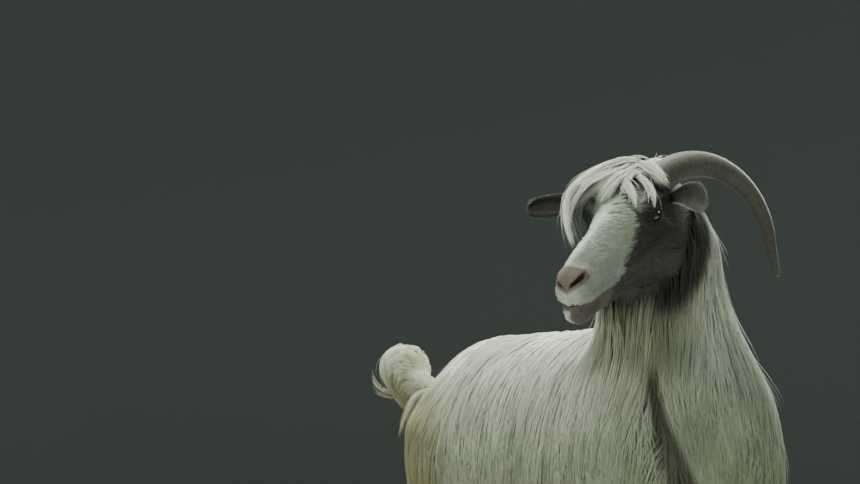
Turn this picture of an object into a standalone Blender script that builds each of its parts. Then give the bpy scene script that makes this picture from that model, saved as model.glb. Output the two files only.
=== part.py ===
"""A long-haired goat, standing, life size, as a still museum model.

Metres, +Z up, soles at z = 0. The body faces -Y, so the goat's left side is at +X, and the head is
turned to the goat's right. Sizes are of the outline with its coat. The flesh is modelled whole from
lofted tubes and ovals, fused, and then parted into trunk, neck, head, tail and four legs by thin cuts.
Horns, ears, eyes and the claws of the hooves are pieces of their own.
"""

import math

import bmesh
import bpy
from mathutils import Matrix, Vector

GAP = 0.0004  # clear space between two pieces that meet
FAR = 0.9  # wider than anything that a plane has to cut
HEAD_REACH, TAIL_REACH = 0.47, 0.3  # of the blocks that take the head and the tail off, and nothing else
SIDES = 24  # points round a lofted section
FUSE_VOXEL = 0.005
FUSE_SMOOTHING = 6
BODY_TRIANGLES = 3000

# Trunk: place along the body (y), height of the back, height of the belly coat's hem, half width.
TRUNK = (
    (-0.420, 0.520, 0.460, 0.020),
    (-0.400, 0.575, 0.400, 0.095),
    (-0.350, 0.635, 0.350, 0.140),
    (-0.270, 0.685, 0.325, 0.160),
    (-0.180, 0.712, 0.312, 0.164),
    (-0.060, 0.714, 0.300, 0.166),
    (0.060, 0.713, 0.302, 0.168),
    (0.160, 0.716, 0.330, 0.160),
    (0.230, 0.706, 0.375, 0.142),
    (0.290, 0.680, 0.420, 0.118),
    (0.335, 0.640, 0.455, 0.092),
    (0.370, 0.595, 0.500, 0.062),
    (0.385, 0.565, 0.530, 0.020),
)
HEM_FULLNESS = 0.35  # how squarely the coat hangs at its hem

# Neck: centre of each section, half width, half depth, and the heading that the throat faces.
NECK = (
    ((0.002, -0.230, 0.510), 0.154, 0.162, 270),
    ((0.002, -0.272, 0.580), 0.140, 0.148, 266),
    ((-0.022, -0.286, 0.645), 0.120, 0.127, 252),
    ((-0.048, -0.294, 0.700), 0.108, 0.112, 236),
    ((-0.074, -0.310, 0.760), 0.098, 0.102, 218),
    ((-0.092, -0.331, 0.820), 0.086, 0.096, 204),
    ((-0.106, -0.344, 0.868), 0.068, 0.078, 196),
    ((-0.114, -0.348, 0.896), 0.048, 0.054, 194),
    ((-0.118, -0.350, 0.908), 0.020, 0.024, 194),
)

# Head: the way that it faces, as a heading, a drop of the muzzle and a tilt to the left side.
HEAD_HEADING = 194
HEAD_DROP = 31
HEAD_TILT = 6
OCCIPUT = Vector((-0.116, -0.352, 0.883))
# Place from the occiput to the nose, height over and under that line, half width, pinch at top, at foot.
HEAD = (
    (-0.004, 0.020, -0.020, 0.022, 0.0, 0.0),
    (0.006, 0.040, -0.044, 0.044, 0.0, 0.1),
    (0.035, 0.062, -0.074, 0.060, 0.1, 0.2),
    (0.068, 0.070, -0.092, 0.066, 0.1, 0.3),
    (0.100, 0.067, -0.097, 0.068, 0.2, 0.4),
    (0.132, 0.058, -0.090, 0.058, 0.3, 0.4),
    (0.165, 0.049, -0.079, 0.047, 0.3, 0.4),
    (0.198, 0.041, -0.071, 0.038, 0.4, 0.3),
    (0.231, 0.036, -0.067, 0.034, 0.4, 0.3),
    (0.262, 0.031, -0.066, 0.033, 0.4, 0.3),
    (0.284, 0.020, -0.062, 0.029, 0.3, 0.2),
    (0.296, 0.006, -0.053, 0.021, 0.2, 0.2),
    (0.300, -0.014, -0.034, 0.008, 0.0, 0.0),
)
# Long hair of the brow: ovals placed to the left, along the head and over its line, with their sizes.
FORELOCK = (
    ((0.004, 0.058, 0.062), (0.060, 0.036, 0.030)),
    ((-0.062, 0.076, 0.050), (0.032, 0.038, 0.036)),
    ((-0.090, 0.100, 0.018), (0.010, 0.022, 0.040)),
)

EYE_AT = (0.0475, 0.116, 0.026)
EYE_RADIUS = 0.0150

EAR_ROOT = (0.050, 0.042, 0.008)
EAR_LENGTH = 0.130
EAR_WIDTH = 0.052
EAR_THICKNESS = 0.005
EAR_DROOP = 0.022
EAR_FORWARD = 37  # degrees forward of straight out
EAR_FACING_DOWN = 28
EAR_LANES = 5
# Place along the ear, breadth as a share of the widest, half angle that it is cupped through.
EAR_SECTIONS = (
    (0.00, 0.48, 1.30),
    (0.12, 0.52, 1.25),
    (0.25, 0.66, 1.10),
    (0.40, 0.84, 0.95),
    (0.55, 0.97, 0.80),
    (0.70, 1.00, 0.65),
    (0.82, 0.93, 0.55),
    (0.91, 0.76, 0.50),
    (0.97, 0.50, 0.45),
    (1.00, 0.24, 0.40),
)

HORN_ROOT = (0.030, 0.046, 0.050)
HORN_SPLAY = 36  # degrees out from straight back
HORN_RADIUS = 0.112  # of the arc that it bends along
HORN_ARC = (128, -24)  # where on that arc it starts and ends
HORN_SQUASH = 1.18
HORN_THICK = (0.0235, 0.0185)  # half depth and half width at the root
HORN_TIP_SHARE = 0.24
HORN_RINGS = 19
HORN_SIDES = 12

# Legs: centre of each section, half width, half depth. They are given for the left side.
FORELEG = (
    ((0.100, -0.210, 0.500), 0.046, 0.082),
    ((0.099, -0.205, 0.430), 0.044, 0.070),
    ((0.096, -0.202, 0.365), 0.037, 0.052),
    ((0.092, -0.202, 0.300), 0.030, 0.036),
    ((0.089, -0.204, 0.250), 0.026, 0.029),
    ((0.088, -0.206, 0.218), 0.027, 0.030),
    ((0.088, -0.204, 0.180), 0.0205, 0.0235),
    ((0.088, -0.201, 0.125), 0.0185, 0.021),
    ((0.088, -0.201, 0.088), 0.022, 0.026),
    ((0.088, -0.213, 0.058), 0.021, 0.023),
    ((0.088, -0.223, 0.036), 0.023, 0.027),
)
HIND_LEG = (
    ((0.088, 0.228, 0.520), 0.046, 0.100),
    ((0.090, 0.226, 0.440), 0.046, 0.098),
    ((0.091, 0.252, 0.375), 0.037, 0.072),
    ((0.090, 0.303, 0.315), 0.028, 0.046),
    ((0.089, 0.352, 0.268), 0.0235, 0.034),
    ((0.088, 0.366, 0.235), 0.0235, 0.031),
    ((0.087, 0.358, 0.195), 0.0195, 0.025),
    ((0.087, 0.345, 0.130), 0.018, 0.0215),
    ((0.087, 0.337, 0.090), 0.022, 0.026),
    ((0.087, 0.323, 0.059), 0.021, 0.023),
    ((0.087, 0.312, 0.036), 0.023, 0.027),
)
SHOULDER_AT, SHOULDER_SIZE = (0.102, -0.235, 0.530), (0.062, 0.100, 0.150)
HAUNCH_AT, HAUNCH_SIZE = (0.078, 0.232, 0.520), (0.058, 0.096, 0.140)

HOOF_TOP = 0.043
CLAW_WIDTH = 0.0225
CLAW_LENGTH = 0.047
CLAW_SPLIT = 0.0016  # half of the cleft
CLAW_TOE_IN = 0.45  # share of its breadth that a claw has lost at the toe
CLAW_SIDES = 16
CLAW_AHEAD = 0.010  # of the leg's lowest section
CLAW_RAKE = 0.014  # how far the coronet lies behind the sole

# Tail: centre of each section and its radius, and the ball of long hair at its end.
TAIL = (
    ((0.0, 0.325, 0.590), 0.040),
    ((0.0, 0.380, 0.596), 0.033),
    ((0.0, 0.430, 0.606), 0.027),
    ((0.0, 0.465, 0.632), 0.030),
)
TAIL_SLANT = 0.35  # of its sections, backwards for each unit up
TUFT_AT, TUFT_SIZE = (0.0, 0.494, 0.666), (0.053, 0.055, 0.052)

# The cuts that part the body: a point on each plane and the way that the smaller piece lies from it.
NECK_BASE_AT, NECK_BASE_OUT = (0.0, -0.270, 0.590), (0.0, -0.80, 0.60)
NECK_TOP_AT, NECK_TOP_OUT = (-0.124, -0.354, 0.850), (-0.953, -0.235, 0.190)
TAIL_ROOT_AT, TAIL_ROOT_OUT = (0.0, 0.390, 0.600), (0.0, 0.95, 0.31)
# The domes over the legs: centre and radii.
FORE_BELL = ((0.107, -0.205, 0.400), (0.078, 0.086, 0.115))
HIND_BELL = ((0.112, 0.262, 0.425), (0.086, 0.150, 0.130))
BELL_STEPS = 5
BELL_SIDES = 18


def clear_scene():
    for old in list(bpy.data.objects):
        bpy.data.objects.remove(old, do_unlink=True)


def material(name, colour, roughness):
    made = bpy.data.materials.new(name)
    made.use_nodes = True
    shader = made.node_tree.nodes["Principled BSDF"]
    shader.inputs["Base Color"].default_value = (*colour, 1.0)
    shader.inputs["Roughness"].default_value = roughness
    shader.inputs["Metallic"].default_value = 0.0
    return made


def put(name, form, finish=None):
    """A bmesh as an object in the scene, with its normals outwards."""
    bmesh.ops.recalc_face_normals(form, faces=form.faces)
    mesh = bpy.data.meshes.new(name)
    form.to_mesh(mesh)
    form.free()
    made = bpy.data.objects.new(name, mesh)
    bpy.context.scene.collection.objects.link(made)
    if finish:
        mesh.materials.append(finish)
    return made


def between(stations, steps):
    """Sections on a Catmull-Rom curve through the stations, which are flat lists of numbers."""
    found = []
    for i in range(len(stations) - 1):
        four = [stations[max(0, min(len(stations) - 1, i + k))] for k in (-1, 0, 1, 2)]
        for k in range(steps):
            t = k / steps
            found.append(
                [
                    0.5 * (2 * b + (c - a) * t + (2 * a - 5 * b + 4 * c - d) * t * t
                           + (3 * b - a - 3 * c + d) * t ** 3)
                    for a, b, c, d in zip(*four)
                ]
            )
    return found + [list(stations[-1])]


def loft(rings):
    """A closed tube through rings of points, with a cap on each end."""
    form = bmesh.new()
    loops = [[form.verts.new(point) for point in ring] for ring in rings]
    for near, far in zip(loops, loops[1:]):
        for k in range(len(near)):
            after = (k + 1) % len(near)
            form.faces.new((near[k], near[after], far[after], far[k]))
    form.faces.new(list(reversed(loops[0])))
    form.faces.new(loops[-1])
    return form


def oval(at, size):
    """A ball scaled to an ellipsoid, as a bmesh."""
    form = bmesh.new()
    bmesh.ops.create_uvsphere(form, u_segments=SIDES, v_segments=16, radius=1.0)
    bmesh.ops.transform(form, matrix=Matrix.Translation(at) @ Matrix.Diagonal((*size, 1.0)), verts=form.verts)
    return form


def section(half_width, top, foot, pinch_top=0.0, pinch_foot=0.0, sides=SIDES):
    """Points (across, up) of an oval whose upper and lower halves have their own height and pinch.

    A pinch draws that half in towards its middle, and a pinch under nought makes it hang full.
    """
    points = []
    for k in range(sides):
        turn = 2 * math.pi * k / sides
        rise = math.sin(turn)
        pinch = pinch_top if rise > 0 else pinch_foot
        across = half_width * math.cos(turn) * (1 - pinch * abs(rise) ** 1.5)
        points.append((across, top * rise if rise > 0 else -foot * rise))
    return points


def trunk_form():
    rings = []
    for y, back, hem, half_width in between(TRUNK, 2):
        middle = hem + 0.47 * (back - hem)
        rings.append(
            [
                Vector((x, y, middle + z))
                for x, z in section(half_width, back - middle, hem - middle, 0.08, -HEM_FULLNESS)
            ]
        )
    return loft(rings)


def neck_form():
    rings = []
    flat = [(*at, half_width, half_depth, heading) for at, half_width, half_depth, heading in NECK]
    sections = between(flat, 3)
    for i, (x, y, z, half_width, half_depth, heading) in enumerate(sections):
        before, after = sections[max(0, i - 1)], sections[min(len(sections) - 1, i + 1)]
        along = (Vector(after[:3]) - Vector(before[:3])).normalized()
        faces = Vector((math.cos(math.radians(heading)), math.sin(math.radians(heading)), 0))
        across = along.cross(faces).normalized()
        throat = across.cross(along)
        rings.append(
            [
                Vector((x, y, z)) + across * u + throat * v
                for u, v in section(half_width, half_depth, -half_depth)
            ]
        )
    return loft(rings)


def head_axes():
    """Left, nose-ward and brow-ward directions of the head."""
    heading, drop, tilt = (math.radians(a) for a in (HEAD_HEADING, HEAD_DROP, HEAD_TILT))
    ahead = Vector((math.cos(heading), math.sin(heading), 0))
    up = Vector((0, 0, 1))
    left = up.cross(ahead)
    nose = ahead * math.cos(drop) - up * math.sin(drop)
    brow = ahead * math.sin(drop) + up * math.cos(drop)
    return (
        left * math.cos(tilt) - brow * math.sin(tilt),
        nose,
        brow * math.cos(tilt) + left * math.sin(tilt),
    )


def on_head(left, nose, brow):
    """A point given to the left of, along and over the head's line."""
    axes = head_axes()
    return OCCIPUT + axes[0] * left + axes[1] * nose + axes[2] * brow


def head_form():
    rings = []
    for place, top, foot, half_width, pinch_top, pinch_foot in between(HEAD, 2):
        middle = (top + foot) / 2
        rings.append(
            [
                on_head(u, place, middle + v)
                for u, v in section(half_width, top - middle, foot - middle, pinch_top, pinch_foot)
            ]
        )
    return loft(rings)


def forelock_form(at, size):
    """Some of the long hair on the brow, as an oval turned with the head."""
    form = oval((0, 0, 0), size)
    turn = Matrix(head_axes()).transposed().to_4x4()
    bmesh.ops.transform(form, matrix=Matrix.Translation(on_head(*at)) @ turn, verts=form.verts)
    return form


def leg_form(stations, side):
    """A leg from its stations, on the left (side 1) or right (side -1)."""
    rings = []
    for x, y, z, half_width, half_depth in between([(*at, w, d) for at, w, d in stations], 3):
        rings.append(
            [Vector((side * (x + u), y + v, z)) for u, v in section(half_width, half_depth, -half_depth)]
        )
    return loft(rings)


def tail_form():
    rings = []
    for x, y, z, radius in between([(*at, radius) for at, radius in TAIL], 3):
        rings.append(
            [Vector((x + u, y + v * TAIL_SLANT, z + v)) for u, v in section(radius, radius, -radius)]
        )
    return loft(rings)


def evaluated_copy(source, name):
    """The object with its modifiers applied, as a new object."""
    graph = bpy.context.evaluated_depsgraph_get()
    mesh = bpy.data.meshes.new_from_object(source.evaluated_get(graph))
    made = bpy.data.objects.new(name, mesh)
    bpy.context.scene.collection.objects.link(made)
    return made


def fused_body():
    """All the flesh with its coat as one closed surface: the forms joined, remeshed and smoothed."""
    forms = [trunk_form(), neck_form(), head_form(), tail_form(), oval(TUFT_AT, TUFT_SIZE)]
    forms += [forelock_form(at, size) for at, size in FORELOCK]
    for side in (1, -1):
        forms.append(leg_form(FORELEG, side))
        forms.append(leg_form(HIND_LEG, side))
        for (x, y, z), size in ((SHOULDER_AT, SHOULDER_SIZE), (HAUNCH_AT, HAUNCH_SIZE)):
            forms.append(oval((side * x, y, z), size))
    whole = bmesh.new()
    for form in forms:
        bmesh.ops.recalc_face_normals(form, faces=form.faces)
        part = bpy.data.meshes.new("form")
        form.to_mesh(part)
        form.free()
        whole.from_mesh(part)
        bpy.data.meshes.remove(part)
    mesh = bpy.data.meshes.new("fused")
    whole.to_mesh(mesh)
    whole.free()
    rough = bpy.data.objects.new("fused", mesh)
    bpy.context.scene.collection.objects.link(rough)
    remesh = rough.modifiers.new("fuse", "REMESH")
    remesh.mode = "VOXEL"
    remesh.voxel_size = FUSE_VOXEL
    smooth = rough.modifiers.new("soften", "SMOOTH")
    smooth.factor = 0.5
    smooth.iterations = FUSE_SMOOTHING
    fine = evaluated_copy(rough, "fine")
    bpy.data.objects.remove(rough)
    triangulate = fine.modifiers.new("triangles", "TRIANGULATE")
    triangulate.min_vertices = 4
    collapse = fine.modifiers.new("collapse", "DECIMATE")
    collapse.ratio = BODY_TRIANGLES / (2 * len(fine.data.polygons))
    body = evaluated_copy(fine, "body")
    bpy.data.objects.remove(fine)
    return body


def block(centre, size, turn=None):
    form = bmesh.new()
    bmesh.ops.create_cube(form, size=1.0)
    matrix = Matrix.Translation(centre) @ (turn or Matrix.Identity(4)) @ Matrix.Diagonal((*size, 1.0))
    bmesh.ops.transform(form, matrix=matrix, verts=form.verts)
    return form


def beyond(point, outward, offset, reach=FAR):
    """A block that holds everything past a plane: the plane through point, moved by offset along outward."""
    outward = Vector(outward).normalized()
    turn = outward.to_track_quat("Z", "Y").to_matrix().to_4x4()
    return block(Vector(point) + outward * (offset + reach / 2), (reach, reach, reach), turn)


def bell(centre, radii, drop_to, grow):
    """A dome over a leg's top with straight walls down past the sole, grown by a gap."""
    levels = []
    for k in range(BELL_STEPS):
        rise = math.pi / 2 * (1 - (k + 0.4) / BELL_STEPS)
        levels.append((math.cos(rise), centre[2] + (radii[2] + grow) * math.sin(rise)))
    levels += [(1.0, centre[2]), (1.0, drop_to)]
    rings = []
    for spread, z in levels:
        ring = []
        for k in range(BELL_SIDES):
            turn = 2 * math.pi * k / BELL_SIDES
            x = centre[0] + (radii[0] + grow) * spread * math.cos(turn)
            y = centre[1] + (radii[1] + grow) * spread * math.sin(turn)
            ring.append(Vector((x, y, z)))
        rings.append(ring)
    return loft(rings)


def helper(name, form):
    """An object that only cuts."""
    made = put(name, form)
    made.hide_render = True
    made.display_type = "WIRE"
    return made


def cut(source, name, steps, finish):
    """A copy of source with Booleans applied: steps are (operation, cutter)."""
    made = bpy.data.objects.new(name, source.data.copy())
    bpy.context.scene.collection.objects.link(made)
    for operation, cutter in steps:
        boolean = made.modifiers.new(cutter.name, "BOOLEAN")
        boolean.operation = operation
        boolean.object = cutter
    piece = evaluated_copy(made, name)
    bpy.data.objects.remove(made)
    piece.name = name
    piece.data.materials.clear()
    piece.data.materials.append(finish)
    keep_largest(piece)
    return piece


def keep_largest(piece):
    """Drops the crumbs that a cut leaves, and keeps the largest connected form."""
    form = bmesh.new()
    form.from_mesh(piece.data)
    left = set(form.verts)
    groups = []
    while left:
        group, front = set(), [left.pop()]
        while front:
            vert = front.pop()
            group.add(vert)
            for edge in vert.link_edges:
                other = edge.other_vert(vert)
                if other in left:
                    left.remove(other)
                    front.append(other)
        groups.append(group)
    largest = max(groups, key=len)
    crumbs = [vert for group in groups if group is not largest for vert in group]
    bmesh.ops.delete(form, geom=crumbs, context="VERTS")
    form.to_mesh(piece.data)
    form.free()


def grown(source, name):
    """The piece swollen by the gap, for cutting its neighbours."""
    made = bpy.data.objects.new(name, source.data.copy())
    bpy.context.scene.collection.objects.link(made)
    swell = made.modifiers.new("swell", "DISPLACE")
    swell.strength = GAP
    swell.mid_level = 0.0
    solid = evaluated_copy(made, name + "_grown")
    bpy.data.objects.remove(made)
    solid.hide_render = True
    solid.display_type = "WIRE"
    return solid


def flesh_pieces(finishes):
    """Parts the fused body into trunk, neck, head, tail and legs, a gap apart."""
    body = fused_body()
    body.hide_render = True
    body.display_type = "WIRE"
    above_neck_base = helper("above_neck_base", beyond(NECK_BASE_AT, NECK_BASE_OUT, GAP / 2))
    past_neck_base = helper("past_neck_base", beyond(NECK_BASE_AT, NECK_BASE_OUT, -GAP / 2))
    above_neck_top = helper("above_neck_top", beyond(NECK_TOP_AT, NECK_TOP_OUT, GAP / 2, reach=HEAD_REACH))
    past_neck_top = helper("past_neck_top", beyond(NECK_TOP_AT, NECK_TOP_OUT, -GAP / 2, reach=HEAD_REACH))
    tail_space = helper("tail_space", beyond(TAIL_ROOT_AT, TAIL_ROOT_OUT, GAP / 2, reach=TAIL_REACH))
    past_tail_root = helper("past_tail_root", beyond(TAIL_ROOT_AT, TAIL_ROOT_OUT, -GAP / 2, reach=TAIL_REACH))
    under_foot = helper("under_foot", block((0, 0, HOOF_TOP - 0.5), (2, 2, 1)))
    pieces = {
        "head": cut(body, "head", [("INTERSECT", above_neck_top)], finishes["face"]),
        "neck": cut(
            body, "neck", [("INTERSECT", above_neck_base), ("DIFFERENCE", past_neck_top)], finishes["coat"]
        ),
        "tail": cut(body, "tail", [("INTERSECT", tail_space)], finishes["coat"]),
    }
    trunk_steps = [("DIFFERENCE", past_neck_base), ("DIFFERENCE", past_tail_root)]
    for end, (centre, radii) in (("fore", FORE_BELL), ("hind", HIND_BELL)):
        for side, word in ((1, "left"), (-1, "right")):
            place = (side * centre[0], centre[1], centre[2])
            inner = helper(f"{end}_{word}_bell", bell(place, radii, -0.02, -GAP))
            outer = helper(f"{end}_{word}_space", bell(place, radii, -0.02, GAP))
            name = f"leg_{end}_{word}"
            steps = [("INTERSECT", inner), ("DIFFERENCE", under_foot)]
            pieces[name] = cut(body, name, steps, finishes["coat"])
            trunk_steps.append(("DIFFERENCE", outer))
    pieces["trunk"] = cut(body, "trunk", trunk_steps, finishes["coat"])
    return pieces


def horn(side, spaces, finish):
    """A horn bent along an arc that leans out, thick and deep at the root and blunt at the tip."""
    heading = math.radians(HEAD_HEADING)
    ahead = Vector((math.cos(heading), math.sin(heading), 0))
    up = Vector((0, 0, 1))
    out = up.cross(ahead) * side
    splay = math.radians(HORN_SPLAY)
    away = (-ahead * math.cos(splay) + out * math.sin(splay)).normalized()
    beside = up.cross(away)
    root = on_head(side * HORN_ROOT[0], HORN_ROOT[1], HORN_ROOT[2])
    first, last = (math.radians(a) for a in HORN_ARC)
    rings = []
    for i in range(HORN_RINGS):
        share = i / (HORN_RINGS - 1)
        turn = first + (last - first) * share
        centre = (
            root
            + away * HORN_RADIUS * (math.cos(turn) - math.cos(first))
            + up * HORN_RADIUS * HORN_SQUASH * (math.sin(turn) - math.sin(first))
        )
        along = (away * math.sin(turn) - up * HORN_SQUASH * math.cos(turn)).normalized()
        outward = along.cross(beside)
        thin = 1 - (1 - HORN_TIP_SHARE) * share ** 1.15
        if i == HORN_RINGS - 1:
            thin *= 0.45
        depth, width = HORN_THICK[0] * thin, HORN_THICK[1] * thin
        rings.append(
            [
                centre + beside * u + outward * v
                for u, v in section(width, depth, -depth, 0.15, 0.25, HORN_SIDES)
            ]
        )
    word = "left" if side > 0 else "right"
    whole = helper(f"horn_{word}_whole", loft(rings))
    return cut(whole, f"horn_{word}", [("DIFFERENCE", space) for space in spaces], finish)


def ear(side, spaces, finish):
    """A cupped leaf held out and a little forward, hollow to the front, drooping to its rounded tip."""
    heading = math.radians(HEAD_HEADING)
    ahead = Vector((math.cos(heading), math.sin(heading), 0))
    up = Vector((0, 0, 1))
    forward, down = math.radians(EAR_FORWARD), math.radians(EAR_FACING_DOWN)
    out = up.cross(ahead) * side
    along = out * math.cos(forward) + ahead * math.sin(forward)
    back = (out * math.sin(forward) - ahead * math.cos(forward)) * math.cos(down) + up * math.sin(down)
    across = along.cross(back)
    root = on_head(side * EAR_ROOT[0], EAR_ROOT[1], EAR_ROOT[2])
    rings = []
    for share, breadth, cup in EAR_SECTIONS:
        half = EAR_WIDTH / 2 * breadth
        middle = root + along * EAR_LENGTH * share - up * EAR_DROOP * share ** 1.6
        upper, lower = [], []
        for k in range(EAR_LANES):
            turn = (2 * k / (EAR_LANES - 1) - 1) * cup
            u = half * math.sin(turn) / math.sin(cup)
            v = half * (math.cos(turn) - math.cos(cup)) / math.sin(cup)
            skin = back * math.cos(turn) + across * math.sin(turn)
            place = middle + across * u + back * v
            thick = EAR_THICKNESS * (1 - 0.45 * share)
            upper.append(place + skin * thick / 2)
            lower.append(place - skin * thick / 2)
        rings.append(upper + list(reversed(lower)))
    word = "left" if side > 0 else "right"
    whole = helper(f"ear_{word}_whole", loft(rings))
    return cut(whole, f"ear_{word}", [("DIFFERENCE", space) for space in spaces], finish)


def ball_form(at, radius):
    form = bmesh.new()
    bmesh.ops.create_uvsphere(form, u_segments=14, v_segments=10, radius=radius)
    bmesh.ops.translate(form, vec=at, verts=form.verts)
    return form


def claw_form(centre, outward):
    """One of the two claws of a hoof: a flat sole that narrows to the toe, raked back to the coronet.

    outward is the sign of X from the cleft to this claw.
    """
    rings = []
    for z, shrink, rake in ((0.0, 1.0, 0.0), (0.012, 0.97, 0.25), (HOOF_TOP - GAP, 0.82, 1.0)):
        ring = []
        for k in range(CLAW_SIDES):
            turn = 2 * math.pi * k / CLAW_SIDES
            toeward = -math.sin(turn)
            narrowing = 1 - CLAW_TOE_IN * max(0, toeward) ** 2
            x = CLAW_SPLIT + CLAW_WIDTH / 2 * (1 + math.cos(turn)) * shrink * narrowing
            y = rake * CLAW_RAKE - toeward * CLAW_LENGTH / 2 * shrink
            ring.append(Vector((centre[0] + outward * x, centre[1] + y, z)))
        rings.append(ring)
    return loft(rings)


def centre_on_floor(pieces):
    """Moves all pieces so that the middle of their common box stands over the origin."""
    corners = [vert.co for piece in pieces for vert in piece.data.vertices]
    for axis in (0, 1):
        middle = (min(c[axis] for c in corners) + max(c[axis] for c in corners)) / 2
        for piece in pieces:
            for vert in piece.data.vertices:
                vert.co[axis] -= middle


def main():
    clear_scene()
    finishes = {
        "coat": material("long_coat", (0.72, 0.71, 0.63), 0.8),
        "face": material("face_coat", (0.60, 0.58, 0.52), 0.8),
        "ear": material("ear_coat", (0.10, 0.085, 0.075), 0.8),
        "horn": material("horn", (0.17, 0.15, 0.11), 0.5),
        "hoof": material("hoof", (0.09, 0.08, 0.07), 0.5),
        "eye": material("eye", (0.30, 0.20, 0.06), 0.1),
    }
    pieces = flesh_pieces(finishes)
    made = list(pieces.values())
    spaces = [grown(pieces[name], f"{name}_space") for name in ("head", "neck")]
    sockets = []
    for side, word in ((1, "left"), (-1, "right")):
        at = on_head(side * EYE_AT[0], EYE_AT[1], EYE_AT[2])
        made.append(put(f"eye_{word}", ball_form(at, EYE_RADIUS), finishes["eye"]))
        sockets.append(("DIFFERENCE", helper(f"socket_{word}", ball_form(at, EYE_RADIUS + GAP))))
        side_horn = horn(side, spaces, finishes["horn"])
        beside_horn = spaces + [grown(side_horn, f"horn_{word}_space")]
        made += [side_horn, ear(side, beside_horn, finishes["ear"])]
        for end, stations in (("fore", FORELEG), ("hind", HIND_LEG)):
            x, y, _ = stations[-1][0]
            for outward, place in ((-side, "inner"), (side, "outer")):
                form = claw_form((side * x, y - CLAW_AHEAD), outward)
                made.append(put(f"claw_{end}_{word}_{place}", form, finishes["hoof"]))
    head = cut(pieces["head"], "head", sockets, finishes["face"])
    made.remove(pieces["head"])
    bpy.data.objects.remove(pieces["head"])
    head.name = "head"
    made.append(head)
    centre_on_floor(made)


main()
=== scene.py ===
"""The looks of a long-haired goat, standing, with its head turned to its right.

One skin stands for trunk, neck, head, ears, tail and legs. It is the zero surface of a distance field
whose forms are the profiles of the solids carried along their paths, less the depth of the coat. Every
strand of the coat is a thin closed prism that grows from that skin and lies in the layer between it
and the coat's own surface. Lengths are metres. The animal is worked out in its own frame, with the
floor at 0, the body's middle at x = 0 and the chest towards -y. new_piece moves it onto the solids.
"""

import math

import bpy
import numpy as np
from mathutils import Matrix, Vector


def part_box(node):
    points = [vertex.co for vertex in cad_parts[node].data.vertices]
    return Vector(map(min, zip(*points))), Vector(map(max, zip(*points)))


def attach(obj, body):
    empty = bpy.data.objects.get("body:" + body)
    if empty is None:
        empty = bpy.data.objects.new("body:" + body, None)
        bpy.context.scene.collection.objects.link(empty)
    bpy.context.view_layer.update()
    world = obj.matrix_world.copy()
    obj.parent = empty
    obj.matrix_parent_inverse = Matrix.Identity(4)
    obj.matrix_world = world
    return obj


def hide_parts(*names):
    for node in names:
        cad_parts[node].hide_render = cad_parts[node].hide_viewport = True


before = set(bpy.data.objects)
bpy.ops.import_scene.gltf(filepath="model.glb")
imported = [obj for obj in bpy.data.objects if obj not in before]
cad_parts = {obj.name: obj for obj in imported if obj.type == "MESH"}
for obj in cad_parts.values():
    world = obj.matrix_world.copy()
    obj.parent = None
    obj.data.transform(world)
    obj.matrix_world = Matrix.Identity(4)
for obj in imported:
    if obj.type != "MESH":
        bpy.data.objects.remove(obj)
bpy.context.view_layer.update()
rng = np.random.default_rng(11)


def box_middle(*nodes):
    """Middle of the box round some CAD nodes."""
    corners = np.array([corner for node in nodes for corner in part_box(node)])
    return (corners.min(0) + corners.max(0)) / 2


SIDES = ((1, "left"), (-1, "right"))
CLAW_PLACES = ((1, "outer"), (-1, "inner"))
FORE_FOOT_Y = -0.2281  # middle of the fore claws in the animal's own frame
FEET = box_middle(*(f"claw_fore_{side}_{place}" for _, side in SIDES for _, place in CLAW_PLACES))
TO_FRAME = np.array((FEET[0], FEET[1] - FORE_FOOT_Y, 0.0))

# ---------------------------------------------------------------------------------------------------
# Forms. Each row is one section of the coat's outline. Its last value is how deep the coat is there.
# ---------------------------------------------------------------------------------------------------

# Trunk: place along the body (y), height of the back, of the belly skin and of the coat's hem, half
# width, coat depth.
TRUNK = (
    (-0.420, 0.520, 0.480, 0.460, 0.020, 0.008),
    (-0.400, 0.575, 0.455, 0.400, 0.095, 0.020),
    (-0.350, 0.635, 0.415, 0.350, 0.140, 0.026),
    (-0.270, 0.685, 0.392, 0.325, 0.160, 0.028),
    (-0.180, 0.712, 0.385, 0.312, 0.164, 0.024),
    (-0.060, 0.714, 0.382, 0.300, 0.166, 0.020),
    (0.060, 0.713, 0.385, 0.302, 0.168, 0.020),
    (0.160, 0.716, 0.400, 0.330, 0.160, 0.020),
    (0.230, 0.706, 0.425, 0.375, 0.142, 0.018),
    (0.290, 0.680, 0.455, 0.420, 0.118, 0.016),
    (0.335, 0.640, 0.480, 0.455, 0.092, 0.014),
    (0.370, 0.595, 0.510, 0.500, 0.062, 0.012),
    (0.385, 0.565, 0.535, 0.530, 0.020, 0.006),
)
BACK_DEPTH_SHARE = 0.45  # of the side's coat depth, on the back
RUMP_SLOPE = 0.35  # share of its width that the rump's top loses
WIDEST_AT = 0.47  # share of the height
HEM_FULLNESS = 0.35  # share of its width that the coat's hem gains
END_INSET = 0.022  # of the trunk's skin from the ends of its coat

# Neck: height, middle x and y, half width, half depth, heading of the throat in degrees, coat depth.
NECK = (
    (0.470, 0.004, -0.205, 0.150, 0.165, 270, 0.030),
    (0.510, 0.002, -0.230, 0.154, 0.165, 270, 0.030),
    (0.580, 0.002, -0.270, 0.140, 0.150, 266, 0.030),
    (0.645, -0.020, -0.286, 0.121, 0.129, 252, 0.030),
    (0.700, -0.048, -0.2945, 0.111, 0.114, 236, 0.028),
    (0.760, -0.077, -0.309, 0.102, 0.104, 218, 0.026),
    (0.820, -0.097, -0.329, 0.091, 0.098, 204, 0.020),
    (0.868, -0.108, -0.346, 0.064, 0.074, 196, 0.012),
    (0.890, -0.114, -0.349, 0.050, 0.056, 194, 0.008),
)

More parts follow.
